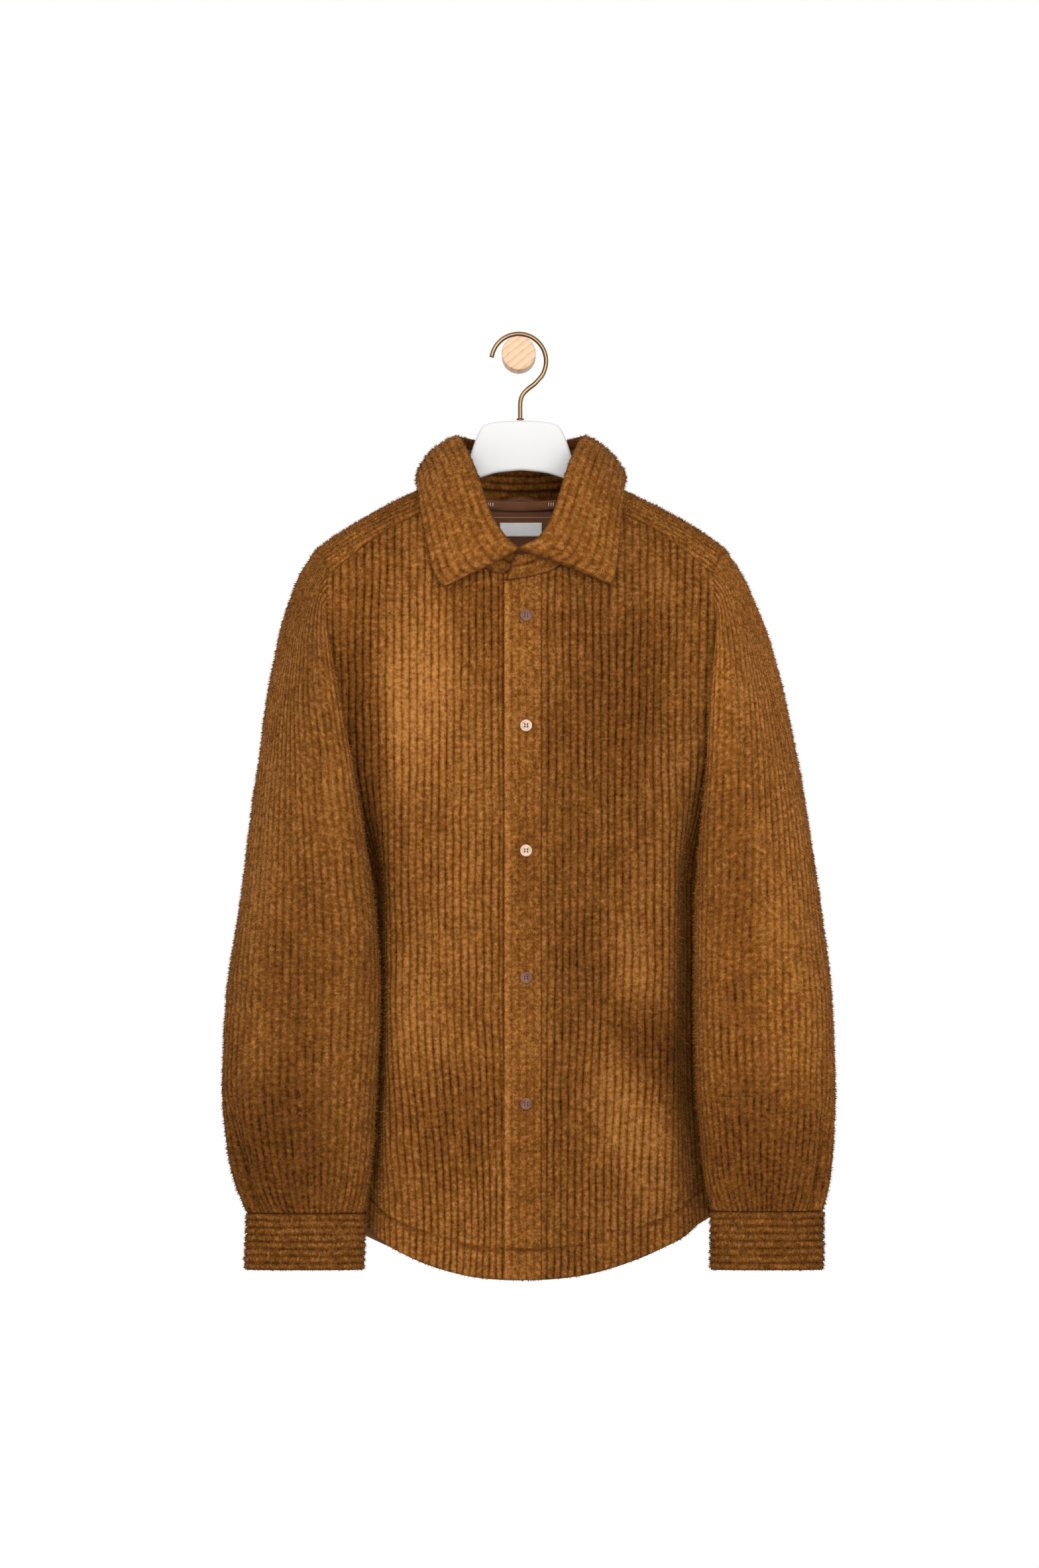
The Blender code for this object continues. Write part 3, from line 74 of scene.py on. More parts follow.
# Patches painted lighter or darker, partly brushed nap and partly painted light and shade beside the
# fronts' folds: middle x and height, half width and half height, lean, amount.
NAP_AND_SHADE_LEFT = ((-96, 560, 42, 95, 0.0, 0.9), (-150, 480, 24, 150, 0.0, -0.9), (-50, 400, 30, 120, 0.1, 0.3),
            (-60, 150, 45, 60, 0.4, -0.45), (-110, 250, 40, 70, 0.1, 0.35), (-40, 640, 30, 50, 0.0, -0.3))
NAP_PLACKET = ((-14, 350, 4, 900, 0.0, 0.5), (10, 350, 12, 60, 0.0, -0.3), (10, 120, 14, 60, 0.0, -0.25))
NAP_BACK = ((-90, 480, 60, 90, 0.1, 0.4), (80, 300, 60, 120, -0.1, -0.4), (-60, 150, 70, 60, 0.2, -0.35),
            (120, 520, 40, 70, 0.0, 0.35), (60, 110, 50, 50, -0.3, 0.4))
# Both sleeves, with x counted outwards.
NAP_SLEEVE = ((225, 120, 60, 75, 0.0, -0.9), (250, 400, 30, 120, -0.1, 0.35), (205, 300, 22, 120, -0.1, -0.35),
              (215, 560, 30, 60, 0.0, 0.2))
NAP_AND_SHADE_RIGHT = ((90, 560, 60, 90, 0.1, -0.45), (135, 215, 30, 55, -0.5, -0.9), (70, 330, 34, 70, 0.2, -0.3),
             (100, 300, 22, 60, -0.3, 0.6), (105, 150, 30, 60, -0.4, 0.7), (150, 450, 25, 80, 0.0, 0.3))
TUFT_LENGTH = 3.0
TUFT_HALF_WIDTH = 0.42
# Pile colours from low to high. The deep colour is mostly painted shade, down in the grooves and at the tufts'
# roots; the tip colour is the pile's lighter tips.
PILE_DEEP_SHADE = (0.030, 0.0085, 0.0014)
PILE_MIDDLE = (0.142, 0.0485, 0.0075)
PILE_TIP = (0.385, 0.162, 0.040)
PALE_BUTTONS = (2, 3)

# The garment's own sizes, as in the solids.
MM = 0.001

# Where it hangs: the peg's axis, and the wall behind it.
PEG_X = -2.0
PEG_HEIGHT = 878.6
WALL_Y = 100.0

# The cloth: thickness at a groove, how far a rib stands up, and the gap between pieces.
SKIN = 4.0
RIB_RISE = 2.0
SEAM_GAP = 0.3

# How far the plain inside may leave the true surface, and its edges the true edges; columns a step.
PANEL_BOW = 0.8
SLEEVE_BOW = 1.5
EDGE_BOW = 0.2
INSIDE_STEP = 12

# Fronts and back.
QUARTER = 268.0          # nominal width of one front or half back, centre to side seam
RIBS_QUARTER = 30
STRAIGHT_SHARE = 0.45    # ribs keep their distance from the centre over this share of a quarter
# Rows from the hem to the upper edge, the same front and back, so that the side seams match.
BODY_SHARES = np.array([0.0, 0.25, 0.50, 0.68, 0.84, 1.0])
HEM_RISE = 72.0          # how much higher the hem is at the side seams
PLACKET_EDGE = -16.0     # x of the placket's free edge
PLACKET_SEAM = 19.5      # x where the placket meets the front it is sewn to
PLACKET_RIBS = 5
PLACKET_PROUD = 1.2      # how far the placket stands in front of the panel beside it
UNDER_EDGE = 15.0        # x of the hidden edge of the lower front
UNDER_SINK = 6.8         # how far the lower front lies behind the placket
BACK_YOKE_HEIGHT = 652.0
SHOULDER_FALL = 112.0    # height over which front and back curve in to the shoulder line
SHOULDER_POWER = 2.2
YOKE_PITCH = 9.8
YOKE_TIP_X = 197.0       # the yoke's armhole edge at the shoulder line
YOKE_BACK_X = 191.0      # and at the back seam
YOKE_CORNER_X = 128.0    # where the fronts turn, so that the yoke's edge needs a place there too

# Sleeves and cuffs.
CUFF_RIBS = 8
CUFF_STATIONS = 16

# Collar.
COLLAR_RIBS = 9
COLLAR_STATIONS = 21
LEAF_UP = 3.2            # from the leaf's middle to a groove on its upper face
LEAF_DOWN = 2.8
STAND_RIBS = 4
STAND_HALF = 2.4
STAND_RIB_RISE = 1.4

# Small pieces.
BUTTON_RADIUS = 5.7
BUTTON_THICK = 2.4
BUTTON_X = 5.0
BUTTON_HEIGHTS = (629.0, 525.0, 407.0, 287.0, 168.0)
LABEL_WIDTH = 40.0
LABEL_DROP = 13.0
LABEL_TOP = 719.0
LOOP_HALF = 34.0
LOOP_HEIGHT = 736.5
FACING_TOP = 729.0
FACING_BOTTOM = 672.0
FACING_HALF = 54.0

# Hanger, hook and peg.
BOARD_THICK = 12.0
WIRE_RADIUS = 2.15
HOOK_RADIUS = 26.0
HOOK_HEIGHT = 871.2
BOARD_TOP = 815.0
PEG_RADIUS = 16.2
PEG_FRONT_Y = -14.0
ARM_END_X = 182.0
ARM_CLEAR = 6.5          # from the outside of the yoke down to the hanger's arm
ARM_DEPTH = 26.0


def table(text):
    """Named columns of a text table, one array for each."""
    lines = [line.split() for line in text.strip().splitlines()]
    columns = zip(*lines[1:])
    return {name: np.array(column, dtype=float) for name, column in zip(lines[0], columns)}


# Plan sections.  yf and yb are the centre front and back; then x and y of the fold at the front's
# corner (f), the cut back corner beside the sleeve (c), the side seam (s) and the back's corner (b).
BODY = table("""
h    yf   lfx  lfy  lcx  lcy  lsx  lsy  lbx  lby  yb  rbx rby rsx rsy rcx rcy  rfx rfy
-10  -73  -118 -65  -148 -31  -206 40   -160 72   78  160 72  212 40  175 -31  142 -64
70   -76  -118 -69  -143 -33  -205 42   -160 74   80  160 74  211 42  167 -34  141 -68
180  -80  -118 -75  -136 -36  -204 46   -160 78   83  160 78  210 46  156 -38  139 -74
300  -82  -117 -77  -134 -37  -203 47   -162 80   84  162 80  209 47  153 -39  138 -76
400  -82  -119 -77  -139 -38  -202 40   -166 78   84  166 78  208 40  158 -40  140 -76
455  -82  -122 -77  -158 -50  -201 26   -170 74   83  170 74  205 26  170 -53  143 -76
520  -82  -125 -77  -180 -66  -206 4    -178 68   82  178 68  208 4   184 -66  146 -76
600  -81  -128 -77  -187 -71  -212 0    -182 68   80  182 68  213 0   190 -71  148 -76
700  -78  -128 -75  -187 -71  -212 0    -182 68   77  182 68  213 0   190 -71  148 -74
800  -78  -128 -75  -187 -71  -212 0    -182 68   76  182 68  213 0   190 -71  148 -74
""")

# The shoulder line's height at a distance from the centre.
SHOULDER = table("""
x    h
0    788
50   770
75   757
93   748
130  730
152  718
173  705
190  693
205  680
230  655
""")

# Upper edges by nominal distance from the centre.
NECKLINE = table("""
s    h
0    668
30   672
55   690
74   712
86   731
""")
YOKE_SEAM = table("""
s    h
86   731
135  705
181  668
""")
ARMHOLE_FRONT = table("""
s    h
181  668
184  625
187  585
192  550
201  516
217  485
240  463
268  455
""")
ARMHOLE_BACK = table("""
s    h
193  652
198  612
205  565
216  515
232  478
250  460
268  455
""")

# The yoke's edge at the neck: distance from the centre, and drop below the shoulder line.
YOKE_NECK = table("""
x    drop
0    43
20   41
40   35
56   25
66   15
76   3
83   -4
86   -18
""")

# Sleeve rings below the underarm: the outer and inner end of each, and half its depth.
SLEEVE_L = table("""
ox   oy   oh   ix   iy   ih    depth
-259 -18  390  -142 -64  376   65
-274 -38  285  -135 -64  285   57
-281 -44  195  -138 -62  195   51
-277 -48  130  -141 -58  130   43
-268 -50  92   -145 -55  92    34
-263 -51  76   -148 -54  76    27
-257 -51  64.6 -150 -53  64.6  22
""")
SLEEVE_R = table("""
ox   oy   oh   ix   iy   ih    depth
277  -18  390  168  -63  376   65
290  -38  285  165  -62  285   57
296  -44  195  167  -60  195   52
294  -48  130  171  -58  130   44
290  -50  94   176  -55  94    36
287  -51  79   179  -54  79    28
284  -51  66.6 182  -53  66.6  22
""")

# Parts of the way round a ring, in degrees from its inner end over the back: how many columns each
# has.  The armhole loop is divided alike: up the back to the shoulder tip, down the front to where
# the sleeve starts to fold over the body, and on to the place under the arm.
RING_PARTS = table("""
from  to   columns
70    180  28
180   360  40
360   430  16
""")
FOLD_HEIGHT = 580.0
CAP_SHARES = (0.0, 0.07, 0.2, 0.42, 0.7)   # rows between the armhole (0) and the first ring (1)
SLEEVE_ROWS = (0.0, 1.2, 2.6, 4.2, 6.0)
RISE_COUNTS = 0.15       # ribs run down, so that fewer of them end at the armhole's upright parts
TURN_GAP = 1.2           # there the seam also lies this much further from the body's edge
CAP_SMOOTHING = 4        # passes that even the cap's rows out round the sleeve
THINNER = 0.76           # share of the skin pressed away where the sleeve turns back sharply
CREASE_COLUMN = 58       # the column that runs down the sleeve's front fold
CREASE_WIDTH = 9.0
BODY_CLEAR = 6.4         # from the body's groove surface to the sleeve's
DRAWN_IN_CLEAR = 5.5
DRAWN_IN_HEIGHT = 400.0
# How the cap leaves the armhole, by column, in lengths of its way to the first ring: away from the
# body, to the wall (y) and down.  turn: 1 where the sleeve must be clear of the body at once.
CAP_START = table("""
column  away  y      down  turn
0       0.40  0.00   0.55  1
5       0.46  0.12   0.50  1
10      0.50  0.06   0.56  0.3
15      0.42  -0.08  0.64  0
22      0.40  -0.16  0.65  0
28      0.46  -0.05  0.66  0
36      0.44  0.04   0.66  0
46      0.40  -0.04  0.60  0
52      0.40  -0.12  0.52  0
56      0.26  -0.40  0.42  0.2
60      0.04  -0.56  0.32  0.5
64      -0.06 -0.50  0.28  0.8
68      0.00  -0.32  0.36  1
73      0.24  -0.30  0.36  1
78      0.36  -0.14  0.42  1
84      0.40  0.00   0.55  1
""")
RING_SQUARE = 0.9        # under 1, the rings are a little squarer than ellipses
PLEAT_TOP = 190.0
PLEAT_DEPTH = 11.0
PLEAT_PLACE = 0.40       # round the ring, from 0 under the arm over the back
PLEAT_WIDTH = 0.026

# Cuffs: the ends of the lower edge; the upper edge is the sleeve's last ring.
CUFF_L = {"ox": -259.0, "ix": -150.0, "y": -52.0, "h": 10.5, "depth": 21.0}
CUFF_R = {"ox": 284.0, "ix": 181.0, "y": -52.0, "h": 10.5, "depth": 21.0}

# Collar, from the left front end round the back to the right one.  n: middle of the stand's lower
# edge, r: the roll line, e: the leaf's edge on the garment at ex, drop below the shoulder line
# (front side negative), lift: its height off the cloth, and how far the leaf bulges.
COLLAR = table("""
nx    ny    nh   rx    ry    rh   ex    drop  lift bulge
12    -72   671  0     -87   691  -69   -103  6    6
-28   -73   676  -14   -90   703  -79   -92   6    6
-55   -67   696  -29   -80   727  -86   -59   6    6
-74   -46   726  -42   -57   765  -90   -28   6    9
-75   -2    750  -54   -14   792  -91   -4    8    9
-62   38    756  -55   27    797  -88   12    8    9
-36   60    751  -36   54    795  -64   34    7    9
0     66    749  0     62    793  0     62    7    9
36    60    751  36    54    795  64    34    7    9
62    38    756  55    27    797  88    12    8    9
75    -2    750  54    -14   792  91    -4    8    9
74    -46   726  43    -57   765  91    -28   6    9
55    -67   696  31    -80   727  90    -59   6    6
26    -78   676  17    -91   703  88    -84   6    4
-14   -87   669  -3    -101  691  84    -96   7    4
""")
ROLL_DEPTH = 8.0         # from the leaf's middle at the roll down to the stand's upper edge

# Troughs pressed into the body: centre (-1 to 1), half width, depth, and the heights they fade at.
FRONT_FOLDS = table("""
w      width  depth  top  bottom
-0.64  0.080  2.5    420  60
0.62   0.080  3.0    360  40
0.30   0.090  2.0    300  20
""")
BACK_FOLDS = table("""
w      width  depth  top  bottom
-0.52  0.120  7.0    600  0
-0.17  0.090  4.0    430  0
0.20   0.100  5.0    520  0
0.58   0.120  7.0    600  0
""")


def hermite(knots, values, at):
    """Smooth curve through values at uneven knots, held straight past the ends."""
    knots, values, at = np.asarray(knots), np.asarray(values), np.asarray(at, dtype=float)
    at = np.clip(at, knots[0], knots[-1])
    slopes = np.diff(values) / np.diff(knots)
    inner = (slopes[:-1] * np.diff(knots)[1:] + slopes[1:] * np.diff(knots)[:-1])
    inner = inner / (np.diff(knots)[1:] + np.diff(knots)[:-1])
    tangents = np.concatenate([slopes[:1], inner, slopes[-1:]])
    span = np.clip(np.searchsorted(knots, at, side="right") - 1, 0, len(knots) - 2)
    width = knots[span + 1] - knots[span]
    t = (at - knots[span]) / width
    return (values[span] * (1 + 2 * t) * (1 - t) ** 2 + values[span + 1] * t * t * (3 - 2 * t)
            + tangents[span] * width * t * (1 - t) ** 2 - tangents[span + 1] * width * t * t * (1 - t))


def closed_curve(points, per_span):
    """Smooth closed curve through the points, with per_span places for each of them."""
    ahead = np.roll(points, -1, axis=0)
    step = np.sqrt(np.linalg.norm(ahead - points, axis=1))[:, None]
    step_before = np.roll(step, 1, axis=0)
    slope = (ahead - points) / step
    slope_before = np.roll(slope, 1, axis=0)
    tangent = (slope_before * step + slope * step_before) / (step + step_before)
    t = (np.arange(per_span) / per_span)[None, :, None]
    here, there = points[:, None], ahead[:, None]
    here_t, there_t = (tangent * step)[:, None], (np.roll(tangent, -1, axis=0) * step)[:, None]
    curve = (here * (1 + 2 * t) * (1 - t) ** 2 + there * t * t * (3 - 2 * t)
             + here_t * t * (1 - t) ** 2 - there_t * t * t * (1 - t))
    return curve.reshape(-1, 2)


def smoothstep(low, high, value):
    t = np.clip((np.asarray(value, dtype=float) - low) / (high - low), 0.0, 1.0)
    return t * t * (3 - 2 * t)


def shoulder_height(x):
    return hermite(SHOULDER["x"], SHOULDER["h"], np.abs(x))


def shoulder_share(drop):
    """How much of the full depth the body has at a drop below the shoulder line."""
    rest = 1 - np.clip(drop / SHOULDER_FALL, 0.0, 1.0)
    return (1 - rest ** SHOULDER_POWER) ** (1 / SHOULDER_POWER)


class Half:
    """The front or the back half of the body: sections between the side seams at every height."""

    STEP = 5.0
    PLACES = np.linspace(-1, 1, 321)

    def __init__(self, back):
        self.back = back
        self.folds = BACK_FOLDS if back else FRONT_FOLDS
        self.heights = np.arange(BODY["h"][0], BODY["h"][-1] + 1, self.STEP)
        rows = [self.section(h) for h in self.heights]
        self.x = np.array([row[0] for row in rows])
        self.y = np.array([row[1] for row in rows])
        self.left = np.array([row[2] for row in rows])
        self.right = np.array([row[3] for row in rows])
        self.turn_x = np.array([row[4] for row in rows])
        self.turn_y = np.array([row[5] for row in rows])

    def section(self, h):
        """x and y at each place of one section, the lengths of its arcs, and its direction."""
        per_span = 24
        value = {name: float(hermite(BODY["h"], BODY[name], h)) for name in BODY if name != "h"}
        ring = [(0, value["yf"]), (value["lfx"], value["lfy"]), (value["lcx"], value["lcy"]),
                (value["lsx"], value["lsy"]), (value["lbx"], value["lby"]), (0, value["yb"]),
                (value["rbx"], value["rby"]), (value["rsx"], value["rsy"]),
                (value["rcx"], value["rcy"]), (value["rfx"], value["rfy"])]
        curve = closed_curve(np.array(ring, dtype=float), per_span)
        turn = np.roll(curve, -1, axis=0) - np.roll(curve, 1, axis=0)
        turn /= np.linalg.norm(turn, axis=1, keepdims=True)
        left_seam, middle_back, right_seam = 3 * per_span, 5 * per_span, 7 * per_span
        if self.back:
            half, turn = curve[left_seam:right_seam + 1], turn[left_seam:right_seam + 1]
            centre = middle_back - left_seam
        else:
            half = np.vstack([curve[right_seam:], curve[:left_seam + 1]])[::-1]
            turn = -np.vstack([turn[right_seam:], turn[:left_seam + 1]])[::-1]
            centre = left_seam
        run = np.concatenate([[0], np.cumsum(np.linalg.norm(np.diff(half, axis=0), axis=1))])
        run -= run[centre]
        left, right = -run[0], run[-1]
        place = np.where(run < 0, run / left, run / right)
        x, y, turn_x, turn_y = [np.interp(self.PLACES, place, line) for line in (*half.T, *turn.T)]
        return x, y, left, right, turn_x, turn_y

    def look_up(self, grid, h, place):
        row = np.clip((h - self.heights[0]) / self.STEP, 0, len(self.heights) - 1.001)
        column = np.clip((place + 1) / 2 * (len(self.PLACES) - 1), 0, len(self.PLACES) - 1.001)
        r, c = row.astype(int), column.astype(int)
        fr, fc = row - r, column - c
        return ((grid[r, c] * (1 - fc) + grid[r, c + 1] * fc) * (1 - fr)
                + (grid[r + 1, c] * (1 - fc) + grid[r + 1, c + 1] * fc) * fr)

    def fold_depth(self, w, h):
        depth = np.zeros(np.broadcast(w, h).shape)
        for k in range(len(self.folds["w"])):
            across = np.exp(-((w - self.folds["w"][k]) / self.folds["width"][k]) ** 2)
            top, bottom = self.folds["top"][k], self.folds["bottom"][k]
            along = smoothstep(top, top - 160, h) * smoothstep(bottom - 60, bottom + 40, h)
            depth += self.folds["depth"][k] * across * along
        return depth

    def place(self, w, h):
        """The share of the way from centre to side seam at w and h, with the side's sign."""
        side = np.where(w < 0, np.interp(h, self.heights, self.left),
                        np.interp(h, self.heights, self.right))
        ease = np.clip((np.abs(w) - STRAIGHT_SHARE) / (1 - STRAIGHT_SHARE), 0, None) ** 2
        return np.sign(w) * (np.abs(w) * QUARTER + (side - QUARTER) * ease) / side

    def point(self, w, h):
        """Places on the groove surface for w from -1 to 1 and heights h."""
        w, h = np.broadcast_arrays(np.asarray(w, dtype=float), np.asarray(h, dtype=float))
        place = self.place(w, h)
        x = self.look_up(self.x, h, place)
        y = self.look_up(self.y, h, place)
        inward = -1 if self.back else 1
        y = y + inward * self.fold_depth(w, h)
        y = y * shoulder_share(shoulder_height(x) - h)
        return np.stack([x, y, h], axis=-1)

    def normal(self, w, h):
        small = 1.5
        w, h = np.broadcast_arrays(np.asarray(w, dtype=float), np.asarray(h, dtype=float))
        across = self.point(w + small / QUARTER, h) - self.point(w - small / QUARTER, h)
        place = self.place(w, h)
        at_seam = np.stack([self.look_up(self.turn_x, h, place), self.look_up(self.turn_y, h, place),
                            np.zeros(h.shape)], axis=-1)
        across = np.where((np.abs(w) > 0.97)[..., None], at_seam, across)
        up = self.point(w, h + small) - self.point(w, h - small)
        out = np.cross(across, up) * (-1 if self.back else 1)
        return out / np.linalg.norm(out, axis=-1, keepdims=True)

    def depth_at(self, x, h):
        """y of this half at x, for the parts between the corners where y depends on x alone."""
        x, h = np.broadcast_arrays(np.asarray(x, dtype=float), np.asarray(h, dtype=float))
        row = np.clip(((h - self.heights[0]) / self.STEP), 0, len(self.heights) - 1.001)
        low = row.astype(int)
        out = np.empty(x.shape)
        for i in np.ndindex(x.shape):
            below = np.interp(x[i], self.x[low[i]], self.y[low[i]])
            above = np.interp(x[i], self.x[low[i] + 1], self.y[low[i] + 1])
            out[i] = below + (above - below) * (row[i] - low[i])
        return out


FRONT = Half(back=False)
BACK = Half(back=True)

# Length along the cloth from the shoulder line down, for a body of ordinary depth.
_drops = np.linspace(0, SHOULDER_FALL, 400)
_depths = 80 * shoulder_share(_drops)
_lengths = np.concatenate([[0], np.cumsum(np.hypot(np.diff(_drops), np.diff(_depths)))])


def drop_of(q):
    """Drop below the shoulder line at a length q along the cloth."""
    past = np.clip(np.abs(q) - _lengths[-1], 0, None)
    return np.interp(np.abs(q), _lengths, _drops) + past


def length_of(drop):
    past = np.clip(drop - _drops[-1], 0, None)
    return np.interp(drop, _drops, _lengths) + past


def shoulder_point(x, q):
    """Place on the groove surface at x, a length q over the shoulder line: front negative."""
    x, q = np.broadcast_arrays(np.asarray(x, dtype=float), np.asarray(q, dtype=float))
    drop = drop_of(q)
    h = shoulder_height(x) - drop
    depth = np.where(q < 0, FRONT.depth_at(x, h), BACK.depth_at(x, h))
    return np.stack([x, depth * shoulder_share(drop), h], axis=-1)


def shoulder_normal(x, q):
    small = 1.5
    across = shoulder_point(x + small, q) - shoulder_point(x - small, q)
    over = shoulder_point(x, q + small) - shoulder_point(x, q - small)
    out = np.cross(across, over)
    return out / np.linalg.norm(out, axis=-1, keepdims=True)


def hem_height(w, back=False):
    rise = (1 - np.cos(math.pi * np.abs(w) ** 1.25)) / 2
    return 1.2 + HEM_RISE * rise + (5.0 * (1 - np.abs(w)) if back else 0.0)


def front_top(w):
    """Upper edge of a front: neckline, yoke seam and armhole, one after the other."""
    s = np.abs(w) * QUARTER
    neck, seam, hole = [hermite(part["s"], part["h"], s) for part in (NECKLINE, YOKE_SEAM, ARMHOLE_FRONT)]
    seam = seam - 2 * SEAM_GAP
    return np.where(s < NECKLINE["s"][-1], neck, np.where(s < YOKE_SEAM["s"][-1], seam, hole)) - SEAM_GAP


def back_top(w):
    s = np.abs(w) * QUARTER
    hole = hermite(ARMHOLE_BACK["s"], ARMHOLE_BACK["h"], s)
    return np.where(s < ARMHOLE_BACK["s"][0], BACK_YOKE_HEIGHT, hole) - SEAM_GAP


def yoke_stations():
    """Distances from the centre at which the yoke's grid has a station, armhole to armhole."""
    neck = list(YOKE_NECK["x"])
    shoulder = [107.0, YOKE_CORNER_X, 145.0, 162.0, 180.0, YOKE_TIP_X]
    half = neck + shoulder
    return np.array([-x for x in half[:0:-1]] + half)


def yoke_plan(stations, lengths):
    """x and q of the yoke's grid, and which places lie on its cut front, neck or back edge."""
    station = stations[:, None]
    seam_end = FRONT.point(YOKE_SEAM["s"][-1] / QUARTER, YOKE_SEAM["h"][-1])
    seam_q = float(-length_of(shoulder_height(seam_end[0]) - seam_end[2]))
    back_q = float(length_of(shoulder_height(YOKE_BACK_X) - BACK_YOKE_HEIGHT))
    q = lengths[None, :]
    arm = hermite([seam_q, 0.45 * seam_q, 0, 0.6 * back_q, back_q],
                  [seam_end[0], 0.45 * seam_end[0] + 0.55 * YOKE_TIP_X, YOKE_TIP_X,
                   0.4 * YOKE_TIP_X + 0.6 * YOKE_BACK_X + 2.0, YOKE_BACK_X], q)
    pull = 1 + (arm / YOKE_TIP_X - 1) * smoothstep(100, YOKE_TIP_X, np.abs(station))
    for _ in range(4):
        x = station * pull
        near = yoke_front_edge(x)
        far = length_of(shoulder_height(x) - BACK_YOKE_HEIGHT)
        clamped = np.clip(q, near, far)
        arm = hermite([seam_q, 0.45 * seam_q, 0, 0.6 * back_q, back_q],
                      [seam_end[0], 0.45 * seam_end[0] + 0.55 * YOKE_TIP_X, YOKE_TIP_X,
                       0.4 * YOKE_TIP_X + 0.6 * YOKE_BACK_X + 2.0, YOKE_BACK_X], clamped)
        pull = 1 + (arm / YOKE_TIP_X - 1) * smoothstep(100, YOKE_TIP_X, np.abs(station))
    return x, clamped, (q <= near) | (q >= far), near, far


def yoke_front_edge(x):
    """q of the yoke's edge at x: the front seam outside the neck, the neckline inside it."""
    s = np.linspace(YOKE_SEAM["s"][0], YOKE_SEAM["s"][-1], 60)
    seam = FRONT.point(s / QUARTER, hermite(YOKE_SEAM["s"], YOKE_SEAM["h"], s))
    seam_q = -length_of(shoulder_height(seam[:, 0]) - seam[:, 2])
    outside = np.interp(np.abs(x), seam[:, 0], seam_q)
    neck_q = np.sign(YOKE_NECK["drop"]) * length_of(np.abs(YOKE_NECK["drop"]))
    inside = np.interp(np.abs(x), YOKE_NECK["x"], neck_q)
    return np.where(np.abs(x) < seam[0, 0], inside, outside)


def resample(points, count, rise_counts=1.0):
    """count places at even distances along an open line; heights count as told."""
    steps = np.diff(points, axis=0) * np.array([1.0, 1.0, rise_counts])
    run = np.concatenate([[0], np.cumsum(np.linalg.norm(steps, axis=1))])
    at = np.linspace(0, run[-1], count)
    return np.stack([np.interp(at, run, points[:, k]) for k in range(3)], axis=-1)


def armhole(front_edge, back_edge, yoke_end):
    """Armhole loop: from under the arm up the back, over the shoulder tip and down the front."""
    over = yoke_end[::-1]
    tip = int(np.argmax(over[:, 2]))
    fold = int(np.argmin(np.abs(front_edge[:, 2] - FOLD_HEIGHT)))
    parts = [np.vstack([back_edge, over[:tip + 1]]), np.vstack([over[tip:], front_edge[:fold + 1]]),
             np.vstack([front_edge[fold:], back_edge[:1]])]
    return np.vstack([resample(part, int(columns) + 1, RISE_COUNTS)[:-1]
                      for part, columns in zip(parts, RING_PARTS["columns"])])


def ring_ends(rings, k):
    places = np.arange(len(rings["oh"]))
    return [np.array([float(hermite(places, rings[end + axis], k)) for axis in "xyh"])
            for end in "oi"]


def sleeve_ring(rings, k):
    """Places round one ring, kept clear of the body, divided into columns part by part."""
    outer_end, inner_end = ring_ends(rings, k)
    depth = float(hermite(np.arange(len(rings["oh"])), rings["depth"], k))
    middle, reach = (outer_end + inner_end) / 2, (inner_end - outer_end) / 2
    parts = []
    for start, end, columns in zip(RING_PARTS["from"], RING_PARTS["to"], RING_PARTS["columns"]):
        angle = np.radians(np.linspace(start, end, 121))[:, None]
        along = np.sign(np.cos(angle)) * np.abs(np.cos(angle)) ** RING_SQUARE
        over = np.sign(np.sin(angle)) * np.abs(np.sin(angle)) ** RING_SQUARE
        line = middle + reach * along + np.array([0.0, depth, 0.0]) * over
        parts.append(resample(outside_body(line, body_clear(line)), int(columns) + 1)[:-1])
    return np.vstack(parts)


def body_clear(points):
    """How far the sleeve stays from the body: more where the body's side draws in fastest."""
    drawn_in = np.exp(-((points[:, 2] - DRAWN_IN_HEIGHT) / 48.0) ** 2)
    return BODY_CLEAR + DRAWN_IN_CLEAR * drawn_in * (1 - smoothstep(5, 30, points[:, 1]))


def outside_body(points, clear):
    """The points, those nearer than clear to the body's side moved straight out of its section."""
    moved = points.copy()
    for i, (x, y, h) in enumerate(points):
        row = np.clip((h - FRONT.heights[0]) / FRONT.STEP, 0, len(FRONT.heights) - 1.001)
        low, part = int(row), row - int(row)
        round_x, round_y = [
            np.concatenate([front[low] * (1 - part) + front[low + 1] * part,
                            (back[low] * (1 - part) + back[low + 1] * part)[-2:0:-1]])
            for front, back in ((FRONT.x, BACK.x), (FRONT.y, BACK.y))]
        round_y = round_y * shoulder_share(shoulder_height(round_x) - h)
        nearest = int(np.argmin((round_x - x) ** 2 + (round_y - y) ** 2))
        before, after = nearest - 1, (nearest + 1) % len(round_x)
        along = np.array([round_x[after] - round_x[before], round_y[after] - round_y[before]])
        out = np.array([along[1], -along[0]]) / (np.linalg.norm(along) + 1e-9)
        gap = out @ (np.array([x, y]) - np.array([round_x[nearest], round_y[nearest]]))
        if clear[i] > 0 and gap < clear[i] + 12:
            wanted = (gap + clear[i] + math.hypot(gap - clear[i], 1.5)) / 2
            moved[i, :2] += out * (wanted - gap)
    return moved


